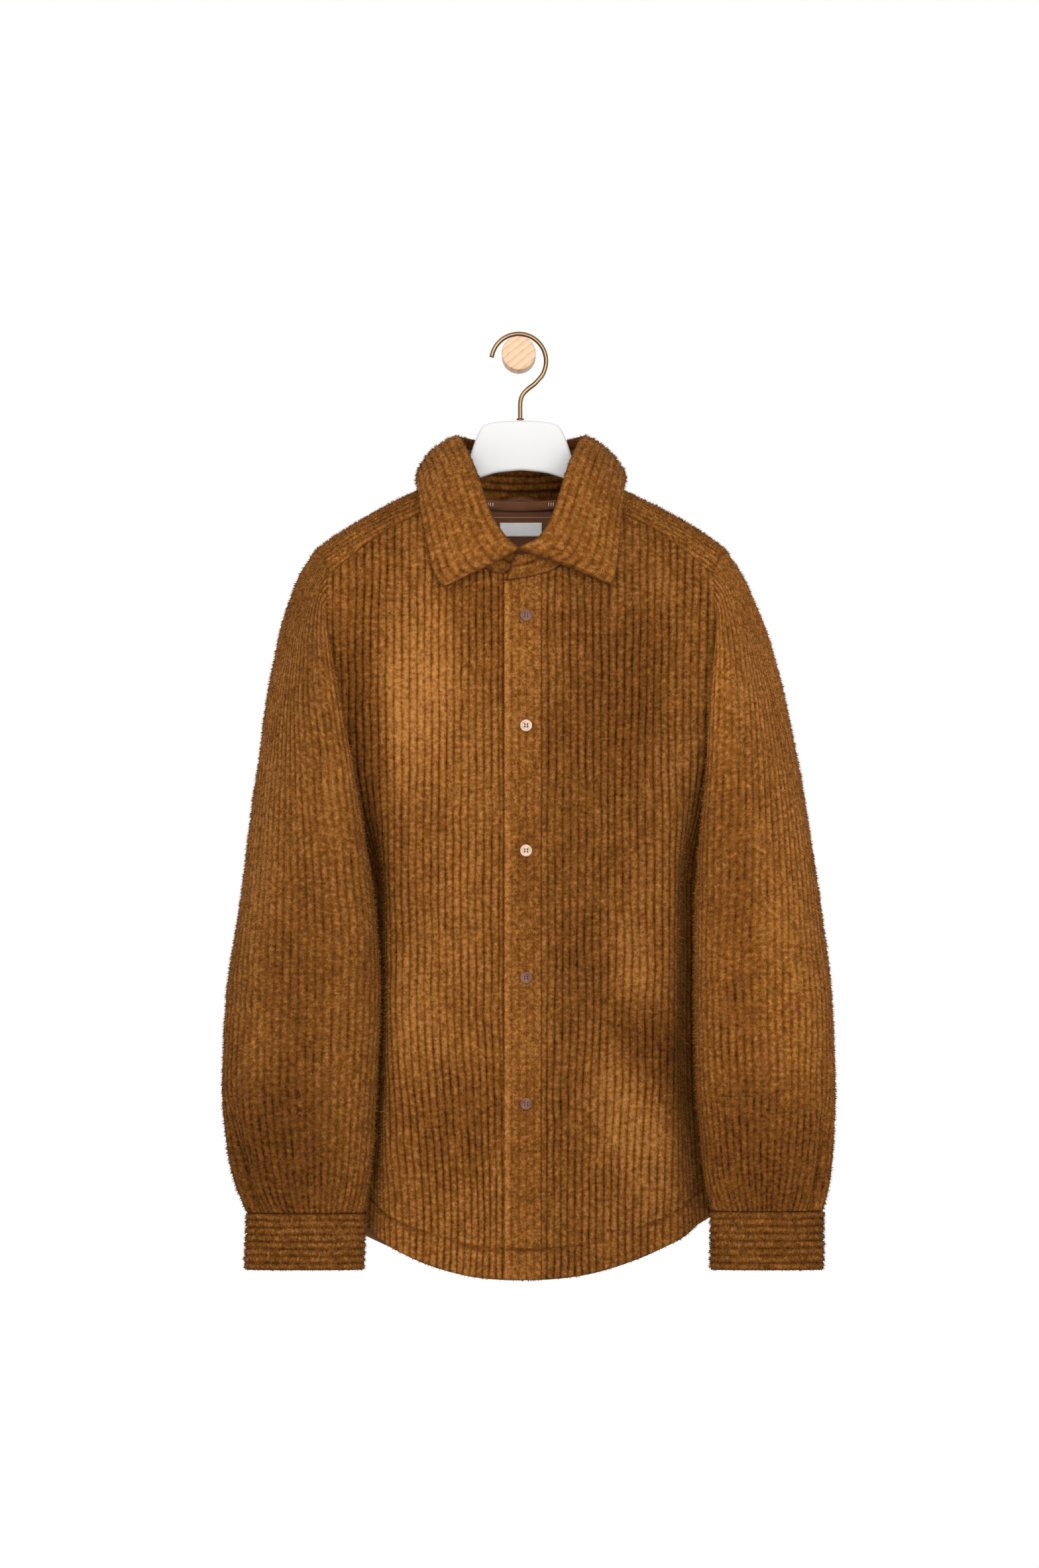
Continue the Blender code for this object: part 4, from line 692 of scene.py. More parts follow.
def cap_rows(rings, edge, edge_normal, off, side):
    """Rows from the armhole down to the first ring, and how far each place must turn back."""
    columns = np.arange(len(edge))
    away, y, down, turn = [hermite(CAP_START["column"], CAP_START[name], columns)
                           for name in ("away", "y", "down", "turn")]
    turn = np.clip(turn, 0, 1)
    edge = edge + (edge_normal * RIB_RISE + off * TURN_GAP) * turn[:, None]
    first = sleeve_ring(rings, 0)
    after = sleeve_ring(rings, 0.2) - first
    after /= np.linalg.norm(after, axis=1, keepdims=True)
    way = np.linalg.norm(first - edge, axis=1, keepdims=True)
    start = np.stack([side * away, y, -down], axis=-1) * way
    rows = []
    for g in CAP_SHARES:
        row = (edge * (1 + 2 * g) * (1 - g) ** 2 + first * g * g * (3 - 2 * g)
               + start * g * (1 - g) ** 2 - after * way * g * g * (1 - g))
        for _ in range(CAP_SMOOTHING if g > 0 else 0):
            row = (np.roll(row, 1, axis=0) + 2 * row + np.roll(row, -1, axis=0)) / 4
        clear = body_clear(row) * np.maximum(turn, smoothstep(0.12, 0.45, g)) * smoothstep(0, 0.06, g)
        rows.append(outside_body(row, clear))
    return rows, turn


def tube_normals(base):
    """Outward normals of a closed tube's rows, each the mean of the faces around it."""
    ahead = np.roll(base, -1, axis=1)
    face = np.cross(ahead[1:] - base[:-1], base[1:] - ahead[:-1])
    face /= np.linalg.norm(face, axis=-1, keepdims=True)
    face = face + np.roll(face, 1, axis=1)
    normal = np.concatenate([face[:1], face[:-1] + face[1:], face[-1:]])
    normal /= np.linalg.norm(normal, axis=-1, keepdims=True)
    middle = base.mean(axis=1, keepdims=True)
    return normal * np.sign(np.sum(normal * (base - middle), axis=-1).mean())


def cuff_grid(cuff, seam, stations, places):
    """Places of a cuff's stations and ribs: from the sleeve's last ring down to its own edge."""
    top = closed_resample(seam, stations) - np.array([0.0, 0.0, SEAM_GAP])
    reach = np.array([(cuff["ix"] - cuff["ox"]) / 2, 0.0, 0.0])
    middle = np.array([(cuff["ix"] + cuff["ox"]) / 2, cuff["y"], cuff["h"]])
    start = math.radians(RING_PARTS["from"][0])
    angle = start + np.linspace(0, 2 * math.pi, 241)[:, None]
    ring = middle + reach * np.cos(angle) + np.array([0.0, cuff["depth"], 0.0]) * np.sin(angle)
    bottom = closed_resample(ring[:-1], stations)
    v = np.linspace(0, 1, places)[None, :, None]
    return top[:, None] * (1 - v) + bottom[:, None] * v


def closed_resample(loop, count):
    """Even places round a closed loop, starting at its first point."""
    return resample(np.vstack([loop, loop[:1]]), count + 1)[:-1]


def collar_lines(stations):
    """Stand foot, roll line, leaf edge and bulge at even steps round the collar."""
    rows = np.arange(len(COLLAR["nx"]))
    at = np.linspace(0, rows[-1], stations)

    def line(names):
        return np.stack([hermite(rows, COLLAR[name], at) for name in names], axis=-1)

    foot = line(("nx", "ny", "nh"))
    roll = line(("rx", "ry", "rh"))
    edge_x = hermite(rows, COLLAR["ex"], at)
    drop = hermite(rows, COLLAR["drop"], at)
    q = np.sign(drop) * length_of(np.abs(drop))
    edge = shoulder_point(edge_x, q) + shoulder_normal(edge_x, q) * line(("lift",))
    return foot, roll, edge, hermite(rows, COLLAR["bulge"], at)


def strip_points(x, h, depth_off):
    """Places depth_off inside the back's groove surface."""
    x, h = np.broadcast_arrays(x, h)
    drop = shoulder_height(x) - h
    y = BACK.depth_at(x, h) * shoulder_share(drop) - depth_off
    return np.stack([x, y, h], axis=-1)


def board_outline():
    """Half of the hanger's outline, from the top centre over the arm to the arch underneath."""
    upper = [(0.0, BOARD_TOP), (22.0, BOARD_TOP - 1.0), (36.0, BOARD_TOP - 4.0), (42.0, 800.0),
             (48.5, 781.0), (55.0, 768.0), (63.0, 755.0), (74.0, 744.0)]
    arm_x = np.linspace(88.0, ARM_END_X, 6)
    arm = [(x, float(shoulder_height(x)) - ARM_CLEAR) for x in arm_x]
    end = arm[-1]
    tip = [(end[0] + 4.0, end[1] - 8.0), (end[0] + 2.0, end[1] - ARM_DEPTH + 4.0),
           (end[0] - 6.0, end[1] - ARM_DEPTH)]
    under = [(150.0, float(shoulder_height(150.0)) - ARM_CLEAR - 34.0), (110.0, 698.0), (75.0, 731.0),
             (46.0, 758.0), (24.0, 765.0), (0.0, 767.5)]
    return upper + arm + tip + under


# ---------------------------------------------------------------- shells

def ripple(u, v, seed, period=64):
    """Smooth uneven waves from -1 to 1, about one to a unit of u and of v."""
    lattice = np.random.default_rng(seed).uniform(-1, 1, (period, period))
    u, v = np.broadcast_arrays(np.asarray(u, dtype=float), np.asarray(v, dtype=float))
    i, j = np.floor(u).astype(int), np.floor(v).astype(int)
    s, t = smoothstep(0, 1, u - i), smoothstep(0, 1, v - j)
    i0, i1, j0, j1 = i % period, (i + 1) % period, j % period, (j + 1) % period
    return ((lattice[i0, j0] * (1 - s) + lattice[i1, j0] * s) * (1 - t)
            + (lattice[i0, j1] * (1 - s) + lattice[i1, j1] * s) * t)


def rib_profile(ribs):
    """Height of the pile across numbered ribs: 0 in a groove, 1 on a rib, rounded on top."""
    return np.abs(np.sin(math.pi * ribs)) ** RIB_FULLNESS


def uneven(number, run, seed, deep=1.0):
    """Pile height of ribs whose grooves deepen, fade and break, with clumps along the ribs."""
    fade = (0.80 + 0.46 * ripple(number + 0.5, run / 19.0, seed)) * deep
    clump = 0.12 * ripple(number * 1.6, run / 7.0, seed + 1) + 0.10 * ripple(number / 1.3, run / 17.0, seed + 2)
    return np.clip(1 - np.clip(fade, 0, 1) * (1 - rib_profile(number)) + clump, 0, 1.25)


def wandered(number, run, seed):
    """How far ribs wander sideways, in millimetres, in groups and one by one."""
    return (1.5 * ripple(number / 6.0, run / 62.0, seed) + 0.7 * ripple(number / 2.0, run / 21.0, seed + 1))


def nap_and_painted_shade(x, h, patches):
    """How much lighter (over 0) or darker (under 0) the pile is painted: soft ovals of one hand's width, for
    brushed nap and for painted light and shade beside folds.
    """
    total = 0.0
    for middle_x, middle_h, half_x, half_h, lean, amount in patches:
        u = (x - middle_x - lean * (h - middle_h)) / half_x
        total = total + amount * np.exp(-(u * u + ((h - middle_h) / half_h) ** 2) ** 1.4)
    return total


def places_along(length, step, dense=()):
    """Even shares of a length, closer together at both ends and round the distances in dense."""
    shares = list(np.linspace(0, 1, max(int(length / step), 2)))
    for middle in dense:
        shares += [(middle + d) / length for d in (-2.4, -1.2, 0.0, 1.2, 2.4)]
    for d in (0.5, 1.3, 2.4):
        shares += [d / length, 1 - d / length]
    return np.unique(np.round(np.clip(shares, 0, 1), 5))


def edge_round(distance, radius=2.6):
    """Share of the pile's height at a distance from a cut or folded edge."""
    inside = np.clip(distance / radius, 0, 1)
    return np.sqrt(1 - (1 - inside) ** 2)


def kept(count, step, loop=False):
    return [c for c in range(count) if c % step == 0 or (c == count - 1 and not loop)]


def stitch(fine, coarse, at, faces):
    """Faces between a fine border and a coarse one that holds only the places in at."""
    for k in range(len(at) - 1):
        a, b = at[k], at[k + 1]
        middle = (a + b) // 2
        for c in range(a, b):
            faces.append((fine[c], fine[c + 1], coarse[k] if c < middle else coarse[k + 1]))
        faces.append((fine[middle], coarse[k + 1], coarse[k]))


def shell(name, outer, inner, pile, ribs, along, loop=False, across_step=5, along_step=4, nap=0.0,
          both=False):
    """One closed cloth piece: a fine outside, a plain inside and its edges between them."""
    rows, cols = outer.shape[:2]
    keep_r, keep_c = kept(rows, along_step), kept(cols, across_step, loop)
    number = np.arange(rows * cols).reshape(rows, cols)
    wrapped = np.hstack([number, number[:, :1]]) if loop else number
    plain = rows * cols + np.arange(len(keep_r) * len(keep_c)).reshape(len(keep_r), len(keep_c))
    plain_wrapped = np.hstack([plain, plain[:, :1]]) if loop else plain
    out_faces = np.stack([wrapped[:-1, :-1], wrapped[:-1, 1:], wrapped[1:, 1:], wrapped[1:, :-1]],
                         axis=-1).reshape(-1, 4).tolist()
    in_faces = np.stack([plain_wrapped[:-1, :-1], plain_wrapped[1:, :-1], plain_wrapped[1:, 1:],
                         plain_wrapped[:-1, 1:]], axis=-1).reshape(-1, 4).tolist()
    rim = []
    at = keep_c + [cols] if loop else keep_c
    stitch(wrapped[0], plain_wrapped[0], at, rim)
    stitch(wrapped[-1][::1], plain_wrapped[-1], at, rim)
    if not loop:
        stitch(number[:, 0], plain[:, 0], keep_r, rim)
        stitch(number[:, -1], plain[:, -1], keep_r, rim)
    points = np.vstack([outer.reshape(-1, 3), inner[np.ix_(keep_r, keep_c)].reshape(-1, 3)])
    piece = add_piece(name, points, out_faces + rim + in_faces)
    mesh = piece.data
    sides = np.zeros(len(mesh.polygons), dtype=np.int32)
    sides[len(out_faces) + len(rim):] = 0 if both else 1
    mesh.polygons.foreach_set("material_index", sides)
    pile, ribs, along, nap = [np.broadcast_to(a, (rows, cols)) for a in (pile, ribs, along, nap)]
    for title, values in (("pile", pile), ("ribs", ribs), ("along", along), ("nap", nap)):
        full = np.concatenate([values.ravel(), values[np.ix_(keep_r, keep_c)].ravel()])
        mesh.attributes.new(title, "FLOAT", "POINT").data.foreach_set("value", full.astype(np.float32))
    return piece


def add_piece(name, points, faces, smooth=True):
    """A mesh piece from garment millimetres, with its faces turned outwards."""
    mesh = bpy.data.meshes.new(name)
    mesh.from_pydata(to_frame(points).tolist(), [], faces)
    shape = bmesh.new()
    shape.from_mesh(mesh)
    bmesh.ops.recalc_face_normals(shape, faces=shape.faces)
    shape.to_mesh(mesh)
    shape.free()
    if smooth:
        mesh.shade_smooth()
    piece = bpy.data.objects.new(name, mesh)
    bpy.context.scene.collection.objects.link(piece)
    return piece


def to_frame(points):
    """Garment millimetres to the frame's metres."""
    return (np.asarray(points, dtype=float) - np.array([PEG_X, WALL_Y, PEG_HEIGHT])) * MM


def blades(name, cloth, count, length, nap, lean, seed):
    """Fine tufts standing on the outside of a cloth piece, leaning along nap, as one joined mesh."""
    rng = np.random.default_rng(seed)
    mesh = cloth.data
    total = len(mesh.polygons)
    side, area = np.empty(total, dtype=np.int32), np.empty(total)
    mesh.polygons.foreach_get("material_index", side)
    mesh.polygons.foreach_get("area", area)
    corner_start = np.empty(total, dtype=np.int32)
    corner_count = np.empty(total, dtype=np.int32)
    mesh.polygons.foreach_get("loop_start", corner_start)
    mesh.polygons.foreach_get("loop_total", corner_count)
    corners = np.empty(len(mesh.loops), dtype=np.int32)
    mesh.loops.foreach_get("vertex_index", corners)
    places = np.empty(len(mesh.vertices) * 3, dtype=np.float32)
    mesh.vertices.foreach_get("co", places)
    places = places.reshape(-1, 3).astype(float)
    normals = np.empty(len(mesh.vertices) * 3, dtype=np.float32)
    mesh.vertices.foreach_get("normal", normals)
    normals = normals.reshape(-1, 3)
    pile = np.empty(len(mesh.vertices), dtype=np.float32)
    mesh.attributes["pile"].data.foreach_get("value", pile)
    # The patches' values: the pile painted lighter or darker, partly for brushed nap and partly as painted light
    # and shade beside the fronts' folds.
    nap_and_shade = np.empty(len(mesh.vertices), dtype=np.float32)
    mesh.attributes["nap"].data.foreach_get("value", nap_and_shade)
    chance = np.where((side == 0) & (corner_count == 4), area, 0)
    chosen = rng.choice(total, count, p=chance / chance.sum())
    quad = corners[corner_start[chosen][:, None] + np.arange(4)]
    s, t = rng.random((2, count, 1))
    weight = np.stack([(1 - s) * (1 - t), s * (1 - t), s * t, (1 - s) * t], axis=1)
    root = (places[quad] * weight).sum(axis=1)
    out = (normals[quad] * weight).sum(axis=1)
    out /= np.linalg.norm(out, axis=1, keepdims=True) + 1e-9
    height = (pile[quad] * weight[:, :, 0]).sum(axis=1)[:, None]
    shade = (nap_and_shade[quad] * weight[:, :, 0]).sum(axis=1)
    way = out + lean * np.asarray(nap) + rng.normal(0, 0.38, (count, 3))
    way /= np.linalg.norm(way, axis=1, keepdims=True)
    long = length * MM * (0.45 + 0.55 * height) * rng.uniform(0.55, 1.25, (count, 1))
    width = np.cross(way, rng.normal(0, 1, (count, 3)))
    width *= TUFT_HALF_WIDTH * MM / (np.linalg.norm(width, axis=1, keepdims=True) + 1e-9)
    low = root - out * 0.3 * MM
    points = np.stack([low - width, low + width, root + way * long], axis=1).reshape(-1, 3)
    tufts = bpy.data.meshes.new(name)
    tufts.from_pydata(points.tolist(), [], np.arange(3 * count).reshape(-1, 3).tolist())
    tone = np.repeat(rng.uniform(0, 1, count), 3)
    tip = np.tile([0.0, 0.0, 1.0], count)
    for title, values in (("tone", tone), ("tip", tip), ("pile", np.repeat(height[:, 0], 3)),
                          ("nap", np.repeat(shade, 3))):
        tufts.attributes.new(title, "FLOAT", "POINT").data.foreach_set("value", values.astype(np.float32))
    piece = bpy.data.objects.new(name, tufts)
    bpy.context.scene.collection.objects.link(piece)
    piece.parent = cloth
    return piece


# ---------------------------------------------------------------- fine cloth

def fine_panel(name, half, start, end, ribs, top, sink=None, lift=0.0, seam=HEM_SEAM, wave=1.0,
               patches=(), seed=11, deep=1.0, lean=0.0):
    """A front, the back or the placket: ribs from the hem to the upper edge."""
    w = np.linspace(start, end, ribs * RIB_COLUMNS + 1)
    number = np.arange(len(w)) / RIB_COLUMNS
    hem, top = hem_height(w, half.back), top(w)
    share = places_along(float(np.mean(top - hem)), ROW_STEP, (seam,))[:, None]
    h = hem + (top - hem) * share
    wander = wandered(number, h, seed) / QUARTER * smoothstep(0, 2.0, number) * min(1.0, wave)
    wander *= smoothstep(0, 2.0, number[-1] - number)
    across = np.sin(math.pi * (number / number[-1]) ** 0.7)
    wander = wander + lean / QUARTER * across * (1 - smoothstep(40, 300, h))
    base = half.point(w + wander, h)
    normal = half.normal(w, h)
    if sink is not None:
        base = base - normal * sink(w * QUARTER)[None, :, None]
    from_hem, from_top = h - hem, top - h
    pressed = np.exp(-((from_hem - seam) / 1.5) ** 2)
    swell = 0.7 * wave * ripple(w * 7 + 3, h / 85.0, 5) * smoothstep(0, 30, from_top)
    pile = uneven(number[None, :] + 0 * h, h, seed + 4, deep)
    pile = pile * (1 - 0.55 * pressed)
    edge = edge_round(np.minimum(from_hem, from_top + 0.8)) * edge_round(
        np.minimum(number, number[-1] - number) * 7.0 + 0.9)
    rise = (RISE * pile + FELT) * edge - FELT + lift - 0.5 * pressed + swell
    outer = base + normal * rise[..., None]
    inner = base - normal * SKIN
    # Ovals that paint the pile lighter or darker: brushed nap, and on the fronts painted light and shade beside
    # folds.
    nap = nap_and_painted_shade(w * QUARTER, h, patches)
    return shell(name, outer, inner, pile * edge, number, h, nap=nap)


def cloth_fronts():
    gap = -SEAM_LAP / QUARTER

    def sink(x):
        return UNDER_SINK * smoothstep(PLACKET_EDGE - 4, PLACKET_EDGE + 4, x)

    left = fine_panel("front_left_cloth", FRONT, -1 + gap, UNDER_EDGE / QUARTER,
                      FINE_RIBS + 2, front_top, sink, patches=NAP_AND_SHADE_LEFT, seed=12, lean=16.0)
    start = (PLACKET_SEAM - SEAM_LAP) / QUARTER
    right = fine_panel("front_right_cloth", FRONT, start, 1 - gap, FINE_RIBS - 3, front_top,
                       patches=NAP_AND_SHADE_RIGHT, seed=13, lean=-6.0)
    return left, right


def cloth_placket():
    return fine_panel("placket_cloth", FRONT, PLACKET_EDGE / QUARTER, PLACKET_SEAM / QUARTER,
                      PLACKET_RIBS, front_top, lift=PLACKET_PROUD + 0.6, wave=0.2,
                      patches=NAP_PLACKET, seed=14, deep=0.40)


def cloth_back():
    gap = SEAM_GAP / QUARTER
    return fine_panel("back_cloth", BACK, -1 + gap, 1 - gap, 2 * FINE_RIBS, back_top, patches=NAP_BACK, seed=15)


def cloth_yoke():
    half = np.concatenate([np.linspace(0, 84, 34), np.linspace(86, YOKE_TIP_X, 42)])
    station = np.concatenate([-half[:0:-1], half])
    q = np.linspace(-72, 190, round(262 / FINE_PITCH * RIB_COLUMNS) + 1)
    x, q, cut, near, far = yoke_plan(station, q)
    base = shoulder_point(x, q)
    normal = shoulder_normal(x, q)
    number = np.broadcast_to(q / FINE_PITCH, x.shape)
    number = number + wandered(q / FINE_PITCH, x, 31) / FINE_PITCH
    end = YOKE_TIP_X - np.abs(station)[:, None]
    edge = edge_round(np.minimum(q - near, far - q) + 0.6) * edge_round(end + 0.6)
    pile = uneven(number, x, 33)
    rise = (RISE * pile + FELT) * edge - FELT + 0.6 * ripple(x / 80.0, q / 60.0, 35) * smoothstep(0, 25, end)
    outer = base + normal * rise[..., None]
    inner = base - normal * SKIN
    return shell("yoke_cloth", outer, inner, pile * edge, number, x, across_step=4, along_step=3,
                 nap=0.25 * ripple(x / 40.0, q / 30.0, 37))


def spread(values, knots, at):
    """Smooth rows through the rows of values, which lie at knots."""
    slopes = np.diff(values, axis=0) / np.diff(knots)[:, None, None]
    width = np.diff(knots)[:, None, None]
    inner = (slopes[:-1] * width[1:] + slopes[1:] * width[:-1]) / (width[1:] + width[:-1])
    tangents = np.concatenate([slopes[:1], inner, slopes[-1:]])
    span = np.clip(np.searchsorted(knots, at, side="right") - 1, 0, len(knots) - 2)
    wide = (knots[span + 1] - knots[span])[:, None, None]
    t = ((at - knots[span]) / wide[:, 0, 0])[:, None, None]
    return (values[span] * (1 + 2 * t) * (1 - t) ** 2 + values[span + 1] * t * t * (3 - 2 * t)
            + tangents[span] * wide * t * (1 - t) ** 2 - tangents[span + 1] * wide * t * t * (1 - t))


def cloth_sleeve(name, rings, edge, edge_normal, off, side):
    """Sleeve from the armhole to the cuff seam, with its pleat; returns it and its last ring."""
    rows, turn = cap_rows(rings, edge, edge_normal, off, side)
    coarse = np.array(rows + [sleeve_ring(rings, k) for k in SLEEVE_ROWS])
    coarse[0] = coarse[0] - off * (SEAM_GAP * 3.0 + SEAM_LAP) - edge_normal * 1.0
    step = np.linalg.norm(np.diff(coarse, axis=0), axis=-1).mean(axis=1)
    knots = np.concatenate([[0], np.cumsum(step)])
    down = places_along(knots[-1], ROW_STEP) * knots[-1]
    base = spread(coarse, knots, down)
    columns = coarse.shape[1]
    wrapped = np.concatenate([base[:, -2:], base, base[:, :3]], axis=1).transpose(1, 0, 2)
    count = SLEEVE_RIBS * RIB_COLUMNS
    place = np.arange(count) / count * columns
    base = spread(wrapped, np.arange(-2.0, columns + 3), place).transpose(1, 0, 2)
    around = np.arange(count) / count
    middle = base.mean(axis=1, keepdims=True)
    height = base[:, :, 2:3]
    pleat = np.exp(-((around - PLEAT_PLACE) / PLEAT_WIDTH) ** 2)[None, :, None]
    deep = smoothstep(PLEAT_TOP, 90.0, height) * (1 - 0.7 * smoothstep(92.0, 66.0, height))
    towards = (middle - base) * np.array([1.0, 1.0, 0.0])
    towards /= np.linalg.norm(towards, axis=-1, keepdims=True)
    base = base + towards * deep * pleat * PLEAT_DEPTH
    normal = tube_normals(base)
    for _ in range(6):
        normal = np.roll(normal, 1, axis=1) + 2 * normal + np.roll(normal, -1, axis=1)
        normal /= np.linalg.norm(normal, axis=-1, keepdims=True)
    number = np.broadcast_to(np.arange(count) / RIB_COLUMNS, base.shape[:2])
    sway = (wandered(number, down[:, None] + 0 * number, 71 + side) / FINE_PITCH) * smoothstep(0, 30, down)[:, None]
    sway = sway * smoothstep(0, 1.5, number) * smoothstep(0, 1.5, SLEEVE_RIBS - number)
    from_top, from_end = down[:, None], knots[-1] - down[:, None]
    turned = np.interp(place, np.arange(columns + 1), np.append(turn, turn[0]))[None, :]
    calm = 1 - turned * (1 - smoothstep(30, 90, from_top))
    swell = 1.0 * ripple(around[None, :] * 9, down[:, None] / 70.0, 41 + side) * calm
    swell = swell * smoothstep(0, 40, from_top) * smoothstep(0, 40, from_end)
    pile = uneven(number + sway, down[:, None] + 0 * number, 43 + 9 * side, 1.15)
    edge_soft = edge_round(np.minimum(from_top, from_end) + 0.5)
    rise = (RISE * pile * calm + FELT) * edge_soft - FELT + swell
    skin = SKIN * (1 - THINNER * turned * (1 - smoothstep(40, 120, from_top)))
    outer = base + normal * rise[..., None]
    inner = base - normal * skin[..., None]
    piece = shell(name, outer, inner, pile * edge_soft, number, down[:, None] + 0 * number, loop=True,
                  nap=nap_and_painted_shade(base[:, :, 0] * side, base[:, :, 2], NAP_SLEEVE))
    return piece, base[-1]


def cloth_cuff(name, cuff, seam):
    """A cuff: ribs run round it, from the sleeve's last ring down to its open edge."""
    base = cuff_grid(cuff, seam, CUFF_PLACES, CUFF_RIBS * RIB_COLUMNS + 1)
    middle = base.mean(axis=0, keepdims=True)
    around = np.roll(base, -1, axis=0) - np.roll(base, 1, axis=0)
    normal = np.cross(around, np.gradient(base, axis=1))
    normal[:, [0, -1], 2] = 0.0
    normal /= np.linalg.norm(normal, axis=-1, keepdims=True)
    normal *= np.sign(np.sum(normal * (base - middle), axis=-1).mean())
    number = np.arange(base.shape[1]) / RIB_COLUMNS
    run = np.arange(CUFF_PLACES)[:, None] * 1.9
    sway = 0.14 * ripple(run / 30.0, number[None, :] / 3.0, 53) * smoothstep(0, 1, number) * smoothstep(
        0, 1, number[-1] - number)
    pile = uneven(number[None, :] + sway, run + 0 * sway, 51, 1.5)
    edge = edge_round(np.minimum(number, number[-1] - number) * 6.5 + 0.4, 4.5)[None, :]
    rise = (RISE * pile + FELT + 0.5) * edge - FELT
    outer = (base + normal * rise[..., None]).transpose(1, 0, 2)
    inner = (base - normal * SKIN).transpose(1, 0, 2)
    ribs = np.broadcast_to(number[:, None], outer.shape[:2])
    return shell(name, outer, inner, (pile * edge).T, ribs, run.T + 0 * ribs, loop=True)


def cloth_leaf():
    """Collar leaf from the roll line over to its edge, thick and round at its edges."""
    foot, roll, edge, bulge = collar_lines(LEAF_PLACES)
    chord = edge - roll
    along = np.gradient(roll + edge, axis=0)
    away = np.cross(along, chord)
    away /= np.linalg.norm(away, axis=-1, keepdims=True)
    centre = np.array([0.0, 0.0, 740.0])
    away *= np.where(np.sum(away * (roll - centre), axis=-1, keepdims=True) < 0, -1, 1)
    number = np.linspace(0, COLLAR_RIBS, COLLAR_RIBS * RIB_COLUMNS * 2 + 1)
    v = (number / COLLAR_RIBS)[None, :, None]
    hump = (4 * v * (1 - v)) ** 0.8
    base = roll[:, None] + chord[:, None] * v + away[:, None] * bulge[:, None, None] * hump
    normal = np.cross(np.gradient(base, axis=0), np.gradient(base, axis=1))
    normal /= np.linalg.norm(normal, axis=-1, keepdims=True)
    normal *= np.where(np.sum(normal * away[:, None], axis=-1, keepdims=True) < 0, -1, 1)
    run = np.concatenate([[0], np.cumsum(np.linalg.norm(np.diff((roll + edge) / 2, axis=0), axis=1))])
    wide = np.linalg.norm(chord, axis=1)[:, None]
    across = v[:, :, 0] * wide
    nearest = np.minimum(np.minimum(across, wide - across), np.minimum(run, run[-1] - run)[:, None])
    edge_soft = edge_round(nearest + 0.15, 5.5)
    sway = 0.16 * ripple(run[:, None] / 35.0, number[None, :] / 3.0, 65) * smoothstep(0, 8, nearest)
    pile = uneven(number[None, :] + sway, run[:, None] + 0 * sway, 61, 0.8)
    up = (LEAF_UP + 0.3 + 1.9 * pile) * edge_soft
    swell = 0.8 * ripple(run[:, None] / 45.0, number[None, :] / 4.0, 63) * smoothstep(0, 12, nearest)
    outer = base + normal * (up + swell)[..., None]
    inner = base - normal * (LEAF_DOWN * edge_soft)[..., None]
    return shell("collar_leaf_cloth", outer, inner, pile * edge_soft, number[None, :] + 0 * nearest,
                 run[:, None] + 0 * nearest, across_step=3, along_step=2, both=True)


def cloth_stand():
    """Collar stand, ribbed on the side that faces the neck."""
    foot, roll, _, _ = collar_lines(LEAF_PLACES)
    foot = foot - np.array([0.0, 0.0, FOOT_LAP]) * smoothstep(20.0, -20.0, foot[:, 1])[:, None]
    up = roll - foot
    top = roll - up / np.linalg.norm(up, axis=-1, keepdims=True) * ROLL_DEPTH
    number = np.linspace(0, STAND_RIBS + 1, (STAND_RIBS + 1) * RIB_COLUMNS + 1)
    v = (number / (STAND_RIBS + 1))[None, :, None]
    base = foot[:, None] + (top - foot)[:, None] * v
    normal = np.cross(np.gradient(base, axis=0), np.gradient(base, axis=1))
    normal /= np.linalg.norm(normal, axis=-1, keepdims=True)
    inward = -base * np.array([1.0, 1.0, 0.0])
    normal *= np.where(np.sum(normal * inward, axis=-1, keepdims=True) < 0, -1, 1)
    run = np.concatenate([[0], np.cumsum(np.linalg.norm(np.diff(foot, axis=0), axis=1))])[:, None]
    wide = np.linalg.norm(top - foot, axis=1)[:, None]
    across = v[:, :, 0] * wide
    nearest = np.minimum(np.minimum(across, wide - across), np.minimum(run, run[-1] - run))
    edge_soft = edge_round(nearest + 0.15, 3.0)
    pile = uneven(number[None, :] + 0 * run, run + 0 * nearest, 67)
    rise = (STAND_HALF + 1.5 * pile) * edge_soft
    outer = base + normal * rise[..., None]
    inner = base - normal * (STAND_HALF * edge_soft)[..., None]
    return shell("collar_stand_cloth", outer, inner, pile * edge_soft, number[None, :] + 0 * nearest,
                 run + 0 * nearest, across_step=3, along_step=2, both=True)


# ---------------------------------------------------------------- finishes

class Value:
    """A socket that is worked on with ordinary sums."""

    def __init__(self, look, socket):
        self.look, self.socket = look, socket

    def sum(self, operation, other, swap=False):
        first, second = (other, self) if swap else (self, other)
        return self.look.add("ShaderNodeMath", {"operation": operation}, {0: first, 1: second})

    def __add__(self, other):
        return self.sum("ADD", other)

    def __radd__(self, other):
        return self.sum("ADD", other, True)

    def __sub__(self, other):
        return self.sum("SUBTRACT", other)

    def __rsub__(self, other):
        return self.sum("SUBTRACT", other, True)

    def __mul__(self, other):
        return self.sum("MULTIPLY", other)

    def __rmul__(self, other):
        return self.sum("MULTIPLY", other, True)

    def __pow__(self, other):
        return self.sum("POWER", other)

    def limit(self, low=0.0, high=1.0):
        return self.sum("MAXIMUM", low).sum("MINIMUM", high)


